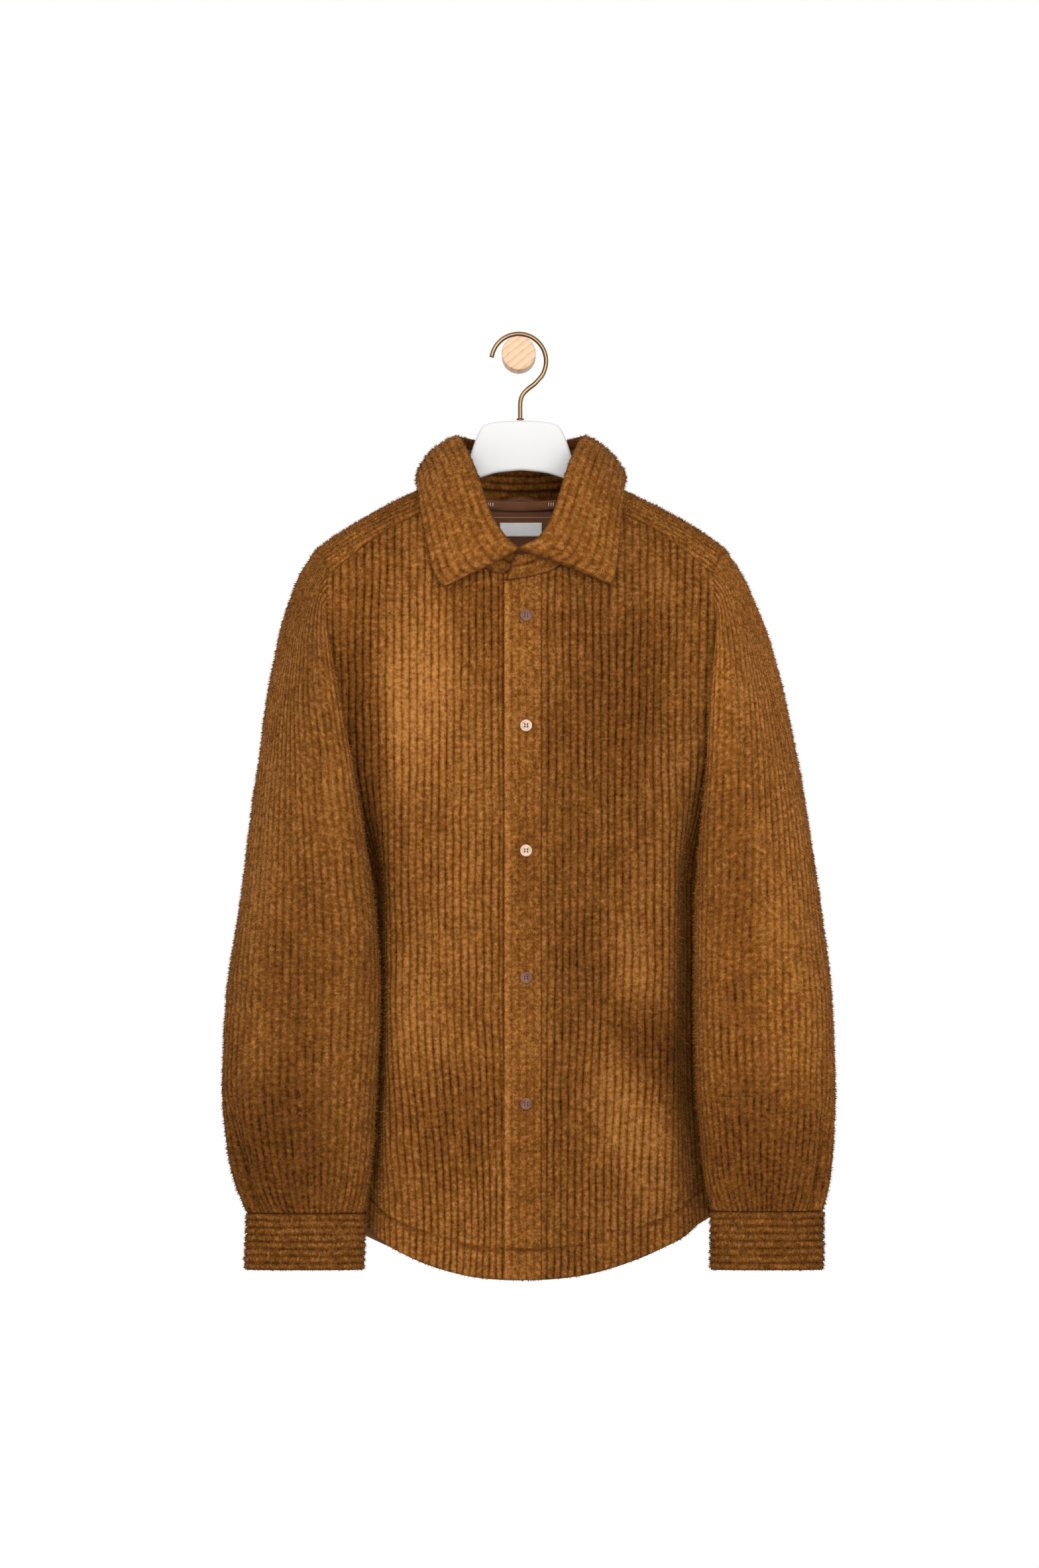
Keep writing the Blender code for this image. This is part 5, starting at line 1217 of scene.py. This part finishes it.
class Finish:
    """One material: nodes are added by type, and the shader's own sockets are set by name."""

    def __init__(self, name, **constants):
        self.material = bpy.data.materials.new(name)
        self.material.use_nodes = True
        self.nodes = self.material.node_tree.nodes
        self.links = self.material.node_tree.links
        self.shader = self.nodes["Principled BSDF"]
        self.set(self.shader, constants)

    def set(self, node, values):
        for key, value in values.items():
            socket = node.inputs[key.replace("_", " ") if isinstance(key, str) else key]
            if isinstance(value, Value):
                self.links.new(value.socket, socket)
            else:
                socket.default_value = value

    def add(self, kind, settings=None, values=None, output=0):
        node = self.nodes.new(kind)
        for key, value in (settings or {}).items():
            if key == "stops":
                ramp = node.color_ramp
                for k, (place, colour) in enumerate(value):
                    stop = ramp.elements[k] if k < 2 else ramp.elements.new(place)
                    stop.position, stop.color = place, (*colour, 1.0)
            else:
                setattr(node, key, value)
        self.set(node, values or {})
        return Value(self, node.outputs[output])

    def attribute(self, name):
        return self.add("ShaderNodeAttribute", {"attribute_name": name}, output="Fac")

    def noise(self, scale, detail=3.0, stretch=(1.0, 1.0, 1.0), roughness=0.55):
        place = self.add("ShaderNodeTexCoord", output="Object")
        place = self.add("ShaderNodeMapping", None, {"Vector": place, "Scale": stretch})
        return self.add("ShaderNodeTexNoise", None, {"Vector": place, "Scale": scale, "Detail": detail,
                                                     "Roughness": roughness})

    def ramp(self, value, stops):
        return self.add("ShaderNodeValToRGB", {"stops": stops}, {"Fac": value})

    def blend(self, share, first, second, how="MIX"):
        node = self.nodes.new("ShaderNodeMix")
        node.data_type = "RGBA"
        node.blend_type = how
        self.set(node, {0: share})
        for socket, value in ((node.inputs[6], first), (node.inputs[7], second)):
            if isinstance(value, Value):
                self.links.new(value.socket, socket)
            else:
                socket.default_value = (*value, 1.0)
        return Value(self, node.outputs[2])

    def bump(self, height, strength, distance):
        self.set(self.shader, {"Normal": self.add("ShaderNodeBump", None, {
            "Height": height, "Strength": strength, "Distance": distance})})

    def colour(self, value):
        self.set(self.shader, {"Base_Color": value if isinstance(value, Value) else (*value, 1.0)})


def tinted(colour, tint):
    return tuple(c * tint for c in colour)


def pile_finish(name, tint):
    """Sheared ribbed pile: grooves painted dark as shade, lighter rib tops, patches painted lighter or darker for
    brushed nap and for light and shade beside folds, and fine grain.
    """
    look = Finish(name, Roughness=0.95, Sheen_Weight=0.06, Sheen_Roughness=0.5,
                  Sheen_Tint=(1.0, 0.55, 0.22, 1.0), Specular_IOR_Level=0.05)
    # nap holds the patches painted lighter or darker: brushed nap, and painted light and shade beside folds.
    pile, nap = look.attribute("pile"), look.attribute("nap")
    ribs, along = look.attribute("ribs"), look.attribute("along")
    place = look.add("ShaderNodeCombineXYZ", None, {"X": ribs * 0.95, "Y": along * 0.19, "Z": 0.0})
    streak = look.add("ShaderNodeTexNoise", None, {"Vector": place, "Scale": 1.6, "Detail": 4.0})
    grain = look.noise(700.0, 3.0)
    patch = look.noise(11.0, 3.0, (1.0, 1.0, 0.5))
    mottle = look.noise(190.0, 3.0)
    # pile is low in the grooves and at seams and edges; the ramp paints those places darker, as painted shade.
    height = (pile * 0.43 + streak * 0.85 + grain * 0.36 + mottle * 0.55 + patch * 0.32 + nap * 0.28
              - 0.92).limit()
    # tint scales the ramp for each piece: painted light and shade, a lighter or darker copy of the pile for each
    # piece.
    colour = look.ramp(height, [(0.0, tinted(PILE_DEEP_SHADE, tint)), (0.46, tinted(PILE_MIDDLE, tint)),
                                (1.0, tinted(PILE_TIP, tint))])
    look.colour(colour)
    look.bump(grain * 0.6 + mottle * 0.8 + streak * 0.5, 0.75, 0.0010)
    return look.material


def tuft_finish(name, tint):
    look = Finish(name, Roughness=0.9, Specular_IOR_Level=0.06)
    tone, tip, pile = look.attribute("tone"), look.attribute("tip"), look.attribute("pile")
    nap = look.attribute("nap")
    patch = look.noise(11.0, 3.0, (1.0, 1.0, 0.5))
    mottle = look.noise(190.0, 3.0)
    # Tufts are darker at the root and where the pile is low, as painted shade down in the pile; they also have
    # random tone and lighter tips.
    height = (tone * 0.46 + tip * 0.20 + pile * 0.40 + mottle * 0.55 + patch * 0.32 + nap * 0.28
              - 0.72).limit()
    look.colour(look.ramp(height, [(0.0, tinted(PILE_DEEP_SHADE, tint)), (0.44, tinted(PILE_MIDDLE, tint)),
                                   (1.0, tinted(PILE_TIP, 1.1 * tint))]))
    return look.material


def suede_finish():
    look = Finish("suede_brown", Roughness=0.88, Sheen_Weight=0.2, Sheen_Roughness=0.5,
                  Specular_IOR_Level=0.2)
    patch, grain = look.noise(28.0, 3.0), look.noise(1400.0, 2.0)
    shade = (patch * 0.7 + grain * 0.35 - 0.05).limit()
    look.colour(look.ramp(shade, [(0.0, (0.085, 0.031, 0.013)), (0.5, (0.160, 0.060, 0.026)),
                                  (1.0, (0.260, 0.110, 0.052))]))
    look.bump(grain + patch * 0.6, 0.5, 0.0005)
    return look.material


def plain_finish(name, colour, roughness, metallic=0.0, fleck=0.0, bump=0.0, scale=60.0, **more):
    """A nearly even finish: a little colour variation and a little surface grain."""
    look = Finish(name, Metallic=metallic, **more)
    patch, grain = look.noise(scale, 3.0), look.noise(scale * 14, 2.0)
    light = tuple(min(1.0, c * (1 + fleck)) for c in colour)
    look.colour(look.blend((patch * 1.6 - 0.3).limit(), tinted(colour, 1 - fleck), light))
    look.set(look.shader, {"Roughness": (patch * 0.16 + (roughness - 0.08)).limit()})
    look.bump(grain + patch * 0.3, bump, 0.0003)
    return look.material


def wood_finish():
    """Sanded pine: pale, with slanting darker growth bands across the end."""
    look = Finish("pine_sanded", Specular_IOR_Level=0.35)
    place = look.add("ShaderNodeTexCoord", output="Object")
    turned = look.add("ShaderNodeMapping", None, {"Vector": place, "Rotation": (0.0, math.radians(38), 0.03)})
    bands = look.add("ShaderNodeTexWave", {"bands_direction": "Z", "wave_profile": "SAW"}, {
        "Vector": turned, "Scale": 52.0, "Distortion": 1.6, "Detail": 2.0, "Detail Scale": 0.8}, "Fac")
    fibre = look.noise(260.0, 3.0, (1.0, 0.08, 1.0))
    shade = (bands * 0.72 + fibre * 0.42 - 0.12).limit()
    look.colour(look.ramp(shade, [(0.0, (0.60, 0.41, 0.28)), (0.55, (0.54, 0.335, 0.205)),
                                  (0.9, (0.42, 0.215, 0.105)), (1.0, (0.36, 0.175, 0.08))]))
    look.set(look.shader, {"Roughness": (fibre * 0.2 + 0.48).limit()})
    look.bump(fibre, 0.25, 0.0003)
    return look.material


def horn_finish(name, dark, light):
    look = Finish(name, Roughness=0.42, Specular_IOR_Level=0.2)
    cloud, grain = look.noise(210.0, 3.0), look.noise(1200.0, 1.0)
    look.colour(look.blend((cloud * 1.8 - 0.4).limit(), dark, light))
    look.bump(grain, 0.05, 0.0001)
    return look.material


# ---------------------------------------------------------------- small pieces

def revolve(name, profile, centre, sides, toward=(0.0, -1.0, 0.0), open_end=False):
    """A turned piece: radius and height pairs spun round an axis through centre."""
    angle = np.arange(sides) * 2 * math.pi / sides
    rings = [np.stack([r * np.cos(angle), -out + 0 * angle, r * np.sin(angle)], axis=-1)
             for r, out in profile]
    points = np.vstack(rings) + np.asarray(centre)
    faces = []
    for k in range(len(profile) - 1):
        for s in range(sides):
            t = (s + 1) % sides
            faces.append((k * sides + s, k * sides + t, (k + 1) * sides + t, (k + 1) * sides + s))
    faces += [tuple(range(sides)), tuple((len(profile) - 1) * sides + s for s in range(sides))]
    return add_piece(name, points, faces)


def sweep(name, route, radius, sides=10, flat=1.0):
    """A round thread or wire along a line of places, with closed ends; flat squeezes its depth."""
    route = np.asarray(route, dtype=float)
    along = np.gradient(route, axis=0)
    along /= np.linalg.norm(along, axis=1, keepdims=True)
    up = np.cross(along, (0.0, 1.0, 0.0))
    up /= np.linalg.norm(up, axis=1, keepdims=True)
    out = np.cross(up, along)
    angle = np.arange(sides) * 2 * math.pi / sides
    size = radius * np.ones(len(route))
    ring = (route[:, None] + (up[:, None] * np.cos(angle)[None, :, None]
                              + out[:, None] * flat * np.sin(angle)[None, :, None]) * size[:, None, None])
    count = len(route)
    faces = [tuple(range(sides)), tuple((count - 1) * sides + s for s in range(sides))]
    for r in range(count - 1):
        for s in range(sides):
            t = (s + 1) % sides
            faces.append((r * sides + s, r * sides + t, (r + 1) * sides + t, (r + 1) * sides + s))
    return add_piece(name, ring.reshape(-1, 3), faces)


def make_button(number, height):
    """A four-hole button: rim, dished middle, dark discs painted as the shade in its holes, and two rows of thread.
    """
    face = float(FRONT.point(BUTTON_X / QUARTER, height)[1]) - 2.0 - PLACKET_PROUD - SEAM_GAP
    profile = [(BUTTON_RADIUS - 0.7, 0.0), (BUTTON_RADIUS - 0.15, 0.45), (BUTTON_RADIUS, 1.1),
               (BUTTON_RADIUS - 0.15, 1.8), (BUTTON_RADIUS - 0.6, 2.25), (BUTTON_RADIUS - 1.1, 2.35),
               (BUTTON_RADIUS - 1.6, 2.2), (BUTTON_RADIUS - 2.1, 1.75), (BUTTON_RADIUS - 2.8, 1.55),
               (0.2, 1.5)]
    centre = (BUTTON_X, face, height)
    disc = revolve(f"button_{number}_disc", profile, centre, 56)
    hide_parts(f"button_{number}")
    hole_shades, threads = [], []
    for sx in (-1, 1):
        for sz in (-1, 1):
            place = (BUTTON_X + 1.25 * sx, face, height + 1.25 * sz)
            hole = revolve(f"button_{number}_hole_{len(hole_shades)}", [(0.80, 1.2), (0.80, 1.70), (0.2, 1.72)],
                           place, 14)
            hole_shades.append(hole)
        t = np.linspace(-1, 1, 9)
        route = np.stack([BUTTON_X + 1.25 * sx + 0 * t, face - 1.62 - 0.35 * (1 - t * t), height + 1.25 * t],
                         axis=-1)
        threads.append(sweep(f"button_{number}_thread_{len(threads)}", route, 0.26, 8))
    return disc, hole_shades, threads


def make_hook():
    """Brass wire hook over the peg."""
    turn = np.radians(np.linspace(172, -34, 60))
    route = [(PEG_X + HOOK_RADIUS * math.cos(a), 0.0, HOOK_HEIGHT + HOOK_RADIUS * math.sin(a)) for a in turn]
    bend = np.array([(13.5, 850.0), (6.5, 844.5), (2.2, 840.0), (0.0, 835.0), (-0.6, 829.0),
                     (-0.6, 822.0), (-0.6, BOARD_TOP + SEAM_GAP)])
    last = np.array([[route[-1][0], route[-1][2]], *bend])
    knots = np.concatenate([[0], np.cumsum(np.linalg.norm(np.diff(last, axis=0), axis=1))])
    at = np.linspace(0, knots[-1], 50)[1:]
    fine = np.stack([hermite(knots, last[:, k], at) for k in (0, 1)], axis=-1)
    route += [(x, 0.0, h) for x, h in fine]
    wire = sweep("hook_wire", route, WIRE_RADIUS, 20)
    ferrule = revolve_up("hook_ferrule", [(2.2, 0.0), (3.4, 0.2), (3.6, 1.0), (3.3, 1.7), (2.3, 2.1)],
                         (-0.6, 0.0, BOARD_TOP + 0.1), 28)
    return wire, ferrule


def revolve_up(name, profile, centre, sides):
    angle = np.arange(sides) * 2 * math.pi / sides
    rings = [np.stack([r * np.cos(angle), r * np.sin(angle), z + 0 * angle], axis=-1) for r, z in profile]
    points = np.vstack(rings) + np.asarray(centre)
    faces = [(k * sides + s, k * sides + (s + 1) % sides, (k + 1) * sides + (s + 1) % sides,
              (k + 1) * sides + s) for k in range(len(profile) - 1) for s in range(sides)]
    faces += [tuple(range(sides)), tuple((len(profile) - 1) * sides + s for s in range(sides))]
    return add_piece(name, points, faces)


def make_board():
    """Flat hanger with softly rounded edges."""
    half = board_outline()
    outline = np.array(half + [(-x, h) for x, h in half[-2:0:-1]])
    run = np.concatenate([[0], np.cumsum(np.linalg.norm(np.diff(np.vstack([outline, outline[:1]]), axis=0),
                                                        axis=1))])
    closed = np.vstack([outline, outline[:1]])
    at = np.linspace(0, run[-1], 360, endpoint=False)
    smooth = np.stack([np.interp(at, run, closed[:, k]) for k in (0, 1)], axis=-1)
    for _ in range(3):
        smooth = (np.roll(smooth, 1, axis=0) + 2 * smooth + np.roll(smooth, -1, axis=0)) / 4
    turn = np.roll(smooth, -1, axis=0) - np.roll(smooth, 1, axis=0)
    inward = np.stack([-turn[:, 1], turn[:, 0]], axis=-1)
    inward /= np.linalg.norm(inward, axis=1, keepdims=True)
    centre_side = np.sum(inward * (np.array([0.0, 720.0]) - smooth), axis=1).mean()
    inward *= 1 if np.mean(turn[:, 0] * smooth[:, 1]) < 0 else -1
    rings = []
    for k in range(9):
        a = math.pi * k / 8 - math.pi / 2
        ease = 2.6 * (1 - math.cos(a))
        y = BOARD_THICK / 2 * math.sin(a) if False else (BOARD_THICK / 2 - 2.6) * np.sign(math.sin(a)) \
            * (abs(math.sin(a)) > 1e-9) + 2.6 * math.sin(a)
        rings.append(np.stack([smooth[:, 0] + inward[:, 0] * ease, y + 0 * smooth[:, 0],
                               smooth[:, 1] + inward[:, 1] * ease], axis=-1))
    count = len(smooth)
    faces = [(r * count + s, r * count + (s + 1) % count, (r + 1) * count + (s + 1) % count,
              (r + 1) * count + s) for r in range(8) for s in range(count)]
    faces += [tuple(range(count)), tuple(8 * count + s for s in range(count))]
    board = add_piece("hanger_board_smooth", np.vstack(rings), faces)
    return board


def make_peg():
    """Turned wooden peg with an eased front edge."""
    profile = [(PEG_RADIUS, -WALL_Y), (PEG_RADIUS, -40.0), (PEG_RADIUS, -PEG_FRONT_Y - 1.8),
               (PEG_RADIUS - 0.25, -PEG_FRONT_Y - 1.0), (PEG_RADIUS - 0.75, -PEG_FRONT_Y - 0.4),
               (PEG_RADIUS - 1.5, -PEG_FRONT_Y - 0.05), (PEG_RADIUS - 4.0, -PEG_FRONT_Y), (1.0, -PEG_FRONT_Y)]
    return revolve("peg_turned", profile, (PEG_X, 0.0, PEG_HEIGHT), 96)


def strip(name, x, h, near, far):
    """Cloth strip inside the back neck: places across and up, at two depths."""
    grid_near = strip_points(x[None, :], h[:, None], near)
    grid_far = strip_points(x[None, :], h[:, None], far)
    rows, cols = grid_near.shape[:2]
    points = np.vstack([grid_near.reshape(-1, 3), grid_far.reshape(-1, 3)])
    number = np.arange(2 * rows * cols).reshape(2, rows, cols)
    faces = []
    for grid, flip in ((number[0], 1), (number[1], -1)):
        quads = np.stack([grid[:-1, :-1], grid[:-1, 1:], grid[1:, 1:], grid[1:, :-1]], axis=-1)
        faces += quads.reshape(-1, 4)[:, ::flip].tolist()
    for a, b in ((number[0][0], number[1][0]), (number[0][-1], number[1][-1]),
                 (number[0][:, 0], number[1][:, 0]), (number[0][:, -1], number[1][:, -1])):
        faces += [(a[k], a[k + 1], b[k + 1], b[k]) for k in range(len(a) - 1)]
    return add_piece(name, points, [tuple(int(i) for i in face) for face in faces])


def make_neck_trim():
    """Facing, bare label, and the loop with its bar tacks."""
    x = np.linspace(-FACING_HALF, FACING_HALF, 61)
    h = np.linspace(FACING_BOTTOM, FACING_TOP, 33)
    facing = strip("facing_suede", x, h, SKIN + SEAM_GAP + 3.8, SKIN + SEAM_GAP + 2.2)
    x = np.linspace(-LABEL_WIDTH / 2, LABEL_WIDTH / 2, 25)
    h = np.linspace(LABEL_TOP - LABEL_DROP, LABEL_TOP, 11)
    label = strip("label_woven", x, h, SKIN + SEAM_GAP + 5.4, SKIN + SEAM_GAP + 4.5)
    x = np.linspace(-LOOP_HALF, LOOP_HALF, 49)
    sag = 2.0 * (1 - (x / LOOP_HALF) ** 2)
    depth = SKIN + SEAM_GAP + 6.8
    loop = sweep("loop_rolled", strip_points(x, LOOP_HEIGHT - sag, depth), 4.2, 16, 0.52)
    stitches = []
    for side in (-1, 1):
        for k in range(3):
            place = side * (LOOP_HALF - 3.0 - 2.2 * k)
            t = np.linspace(-1.6, 1.6, 5)
            line = strip_points(place + 0 * t, LOOP_HEIGHT - 0.4 + t, depth + 2.35)
            stitches.append(sweep(f"loop_tack_{len(stitches)}", line, 0.42, 8))
    for row in (FACING_TOP - 5.0, FACING_BOTTOM + 3.0):
        for k in range(-25, 26):
            t = np.linspace(0, 1.5, 3)
            line = strip_points(2.1 * k + t, row + 0 * t, SKIN + SEAM_GAP + 3.95)
            stitches.append(sweep(f"facing_stitch_{len(stitches)}", line, 0.2, 6))
    for row in (LABEL_TOP - 1.2, LABEL_TOP - LABEL_DROP + 1.2):
        for k in range(-10, 10):
            t = np.linspace(0, 1.1, 3)
            line = strip_points(1.85 * k + 0.4 + t, row + 0 * t, SKIN + SEAM_GAP + 5.5)
            stitches.append(sweep(f"label_stitch_{len(stitches)}", line, 0.14, 6))
    return facing, label, loop, stitches


def joined(name, pieces):
    """Several small pieces as one mesh."""
    points, faces, start = [], [], 0
    for piece in pieces:
        mesh = piece.data
        points += [tuple(v.co) for v in mesh.vertices]
        faces += [tuple(i + start for i in face.vertices) for face in mesh.polygons]
        start += len(mesh.vertices)
        bpy.data.objects.remove(piece, do_unlink=True)
    mesh = bpy.data.meshes.new(name)
    mesh.from_pydata(points, [], faces)
    mesh.shade_smooth()
    one = bpy.data.objects.new(name, mesh)
    bpy.context.scene.collection.objects.link(one)
    return one


# ---------------------------------------------------------------- the whole

def coarse_edge(half, start, end, ribs, top):
    """The upper edge of a panel's solid and its normals, which the armhole is read from."""
    w = np.linspace(start, end, 2 * ribs + 1)
    h = top(w)
    return half.point(w, h), half.normal(w, h)


def sleeve_at(side, name, rings, edges):
    """One armhole's edge and normals, stepped off by the seam gap, and the sleeve sewn to it."""
    (front, front_n), (back, back_n), (yoke, yoke_n) = edges
    cut_front = [k for k in range(len(front)) if side * front[k, 0] > 100 and front[k, 2] < 667.0]
    cut_back = [k for k in range(len(back)) if side * back[k, 0] > 100 and back[k, 2] < 651.6]
    order_f = cut_front if side < 0 else cut_front[::-1]
    order_b = cut_back if side < 0 else cut_back[::-1]
    line_f, line_b = front[order_f][::-1], back[order_b]
    normal_f, normal_b = front_n[order_f][::-1], back_n[order_b]
    loop = armhole(line_f, line_b, yoke)
    everything = np.vstack([line_b, yoke[::-1], line_f])
    normals = np.vstack([normal_b, yoke_n[::-1], normal_f])
    nearest = [int(np.argmin(np.linalg.norm(everything - p, axis=1))) for p in loop]
    edge_normal = normals[nearest]
    around = np.roll(loop, -1, axis=0) - np.roll(loop, 1, axis=0)
    off = np.cross(around, edge_normal)
    off /= np.linalg.norm(off, axis=-1, keepdims=True)
    off *= np.where(np.sum(off * (loop.mean(axis=0) - loop), axis=-1, keepdims=True) < 0, -1, 1)
    return cloth_sleeve(name, rings, loop + off * SEAM_GAP * 3.0, edge_normal, off, side)


def make_sleeves():
    """Both sleeves, and where each ends."""
    gap = SEAM_GAP / QUARTER
    under_ribs = RIBS_QUARTER + round(UNDER_EDGE / QUARTER * RIBS_QUARTER)
    start = (PLACKET_SEAM + SEAM_GAP) / QUARTER
    left = coarse_edge(FRONT, -1 + gap, UNDER_EDGE / QUARTER, under_ribs, front_top)
    right = coarse_edge(FRONT, start, 1 - gap, round((1 - start) * RIBS_QUARTER), front_top)
    back = coarse_edge(BACK, -1 + gap, 1 - gap, 2 * RIBS_QUARTER, back_top)
    x, q, *_ = yoke_plan(yoke_stations(), np.arange(-72, 190, YOKE_PITCH / 2))
    yoke, yoke_n = shoulder_point(x, q), shoulder_normal(x, q)
    made = []
    for side, name, rings in ((-1, "sleeve_left_cloth", SLEEVE_L), (1, "sleeve_right_cloth", SLEEVE_R)):
        front, end = (left, 0) if side < 0 else (right, -1)
        made.append(sleeve_at(side, name, rings, (front, back, (yoke[end], yoke_n[end]))))
    return made


def dress(piece, node, finish, light_and_shade_tint, tufts):
    """Stand for a node, take the finish, and grow its tufts."""
    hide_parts(node)
    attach(piece, "root")
    piece.data.materials.append(finish)
    piece.data.materials.append(SUEDE)
    count, length, nap, lean, seed = tufts
    fur = blades(node + "_tufts", piece, count, length, nap, lean, seed)
    fur.data.materials.append(tuft_finish("tufts_" + node, light_and_shade_tint))


# ---------------------------------------------------------------- making it

SUEDE = suede_finish()
# The second number of each piece is its tint, which paints that piece's pile lighter or darker: lit and shaded
# copies of one pile finish, with the yoke on top lighter and the cuffs and the collar stand darker.
PANELS = {
    "front_under": (-0.9, 0.97, (0.30, 0.70), 0.190, 42000),
    "front_top": (-0.9, 0.86, (0.27, 0.70), 0.170, 42000),
    "placket": (-0.9, 0.98, (0.036, 0.69), 0.0245, 9000),
    "back": (-0.9, 0.95, (0.56, 0.66), 0.335, 42000),
    "yoke": (-0.5, 1.10, (0.42, 0.26), 0.083, 24000),
    "sleeve_l": (-0.9, 0.88, (0.50, 0.62), 0.235, 48000),
    "sleeve_r": (-0.9, 1.08, (0.50, 0.62), 0.235, 48000),
    "cuff_l": (-0.9, 0.80, (0.27, 0.057), 0.0150, 9000),
    "cuff_r": (-0.9, 0.84, (0.26, 0.057), 0.0145, 9000),
    "collar_leaf": (-0.6, 1.00, (0.50, 0.085), 0.034, 16000),
    "collar_stand": (-0.3, 0.90, (0.42, 0.045), 0.0165, 4000),
}


def make_cloth():
    """Every cloth piece, by the node that it stands for."""
    left, right = cloth_fronts()
    (sleeve_l, end_l), (sleeve_r, end_r) = make_sleeves()
    return {"front_under": left, "front_top": right, "placket": cloth_placket(), "back": cloth_back(),
            "yoke": cloth_yoke(), "sleeve_l": sleeve_l, "sleeve_r": sleeve_r,
            "cuff_l": cloth_cuff("cuff_left_cloth", CUFF_L, end_l),
            "cuff_r": cloth_cuff("cuff_right_cloth", CUFF_R, end_r),
            "collar_leaf": cloth_leaf(), "collar_stand": cloth_stand()}


def make_hardware():
    """Buttons, neck trim, hanger, hook and peg, each with its finish."""
    horn = horn_finish("horn_mauve", (0.070, 0.026, 0.016), (0.19, 0.088, 0.056))
    pale_horn = horn_finish("horn_pale", (0.33, 0.20, 0.13), (0.60, 0.46, 0.36))
    # Dark discs on each button stand for the shade inside its holes: painted shade.
    dark = plain_finish("button_hole_shade", (0.035, 0.018, 0.012), 0.8)
    thread = plain_finish("thread_brown", (0.045, 0.020, 0.012), 0.8, fleck=0.2, scale=900.0)
    for number, height in enumerate(BUTTON_HEIGHTS, 1):
        disc, hole_shades, threads = make_button(number, height)
        disc.data.materials.append(pale_horn if number in PALE_BUTTONS else horn)
        for name, pieces, finish in (("hole_shades", hole_shades, dark), ("thread", threads, thread)):
            one = joined(f"button_{number}_{name}", pieces)
            one.data.materials.append(finish)
            one.parent = disc
        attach(disc, "root")
    facing, label, loop, stitches = make_neck_trim()
    facing.data.materials.append(SUEDE)
    label.data.materials.append(plain_finish("label_white", (0.92, 0.92, 0.90), 0.75, fleck=0.05, bump=0.4,
                                             scale=700.0))
    loop.data.materials.append(SUEDE)
    sewing = joined("neck_stitches", stitches)
    sewing.data.materials.append(plain_finish("thread_cream", (0.74, 0.70, 0.62), 0.8, fleck=0.15,
                                              bump=0.3, scale=900.0))
    for piece, node, slot in ((facing, "neck_facing", "suede"), (label, "neck_label", "label_cloth"),
                              (loop, "hanger_loop", "suede")):
        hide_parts(node)
        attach(piece, "root")
    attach(sewing, "root")
    board, peg = make_board(), make_peg()
    wire, ferrule = make_hook()
    board.data.materials.append(plain_finish("hanger_paint", (0.50, 0.50, 0.494), 0.5, fleck=0.02,
                                             bump=0.12, scale=30.0))
    peg.data.materials.append(wood_finish())
    brass = plain_finish("brass_aged", (0.185, 0.125, 0.070), 0.30, metallic=1.0, fleck=0.10, bump=0.04,
                         scale=40.0)
    wire.data.materials.append(brass)
    ferrule.data.materials.append(brass)
    for piece, node, slot in ((board, "hanger_board", "hanger_white"), (peg, "wall_peg", "peg_wood"),
                              (wire, "hanger_hook", "aged_brass")):
        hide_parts(node)
        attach(piece, "root")
    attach(ferrule, "root")


def light(name, place, look_at, size, power, colour=(1.0, 1.0, 1.0)):
    lamp = bpy.data.lights.new(name, "AREA")
    lamp.size, lamp.energy, lamp.color = size, power, colour
    holder = bpy.data.objects.new(name, lamp)
    holder.location = place
    holder.rotation_euler = (Vector(look_at) - Vector(place)).to_track_quat("-Z", "Y").to_euler()
    bpy.context.scene.collection.objects.link(holder)


def make_studio():
    """White surroundings, soft light from the upper left, a pale floor and the camera."""
    scene = bpy.context.scene
    world = bpy.data.worlds.new("studio")
    world.use_nodes = True
    world.node_tree.nodes["Background"].inputs["Color"].default_value = (1.0, 1.0, 1.0, 1.0)
    world.node_tree.nodes["Background"].inputs["Strength"].default_value = SURROUND
    scene.world = world
    scene.view_settings.view_transform = "Standard"
    middle = (0.0, -0.1, -0.45)
    light("key", (-1.1, -2.6, 1.0), middle, 1.2, KEY_POWER, (1.0, 0.98, 0.95))
    light("front", (0.5, -3.0, 0.0), middle, 1.6, FRONT_POWER)
    floor_mesh = bpy.data.meshes.new("floor")
    floor_mesh.from_pydata([(-1.5, -1.2, FLOOR_Z), (1.5, -1.2, FLOOR_Z), (1.5, 0.1, FLOOR_Z),
                            (-1.5, 0.1, FLOOR_Z)], [], [(0, 1, 2, 3)])
    floor = bpy.data.objects.new("floor", floor_mesh)
    scene.collection.objects.link(floor)
    floor_mesh.materials.append(plain_finish("floor_pale", (0.82, 0.82, 0.81), 0.8))
    lens = bpy.data.cameras.new("photo_view")
    lens.sensor_width = 36.0
    lens.lens = 36.0 * CAMERA_AWAY / (IMAGE_HEIGHT * MM_PER_PIXEL)
    lens.clip_end = 50.0
    camera = bpy.data.objects.new("photo_view", lens)
    x = (IMAGE_WIDTH / 2 - CENTRE_PIXEL) * MM_PER_PIXEL
    height = (HEM_PIXEL - IMAGE_HEIGHT / 2) * MM_PER_PIXEL
    camera.location = to_frame([[x, FRONT_Y - CAMERA_AWAY, height]])[0]
    camera.rotation_euler = (math.pi / 2, 0.0, 0.0)
    scene.collection.objects.link(camera)
    scene.camera = camera


make_studio()
for node, piece in make_cloth().items():
    nap, tint, flat, area, count = PANELS[node]
    dress(piece, node, pile_finish("pile_" + node, tint), tint,
          (count, TUFT_LENGTH, (0.0, 0.0, -1.0), abs(nap) * 0.6, 100 + len(node)))
make_hardware()
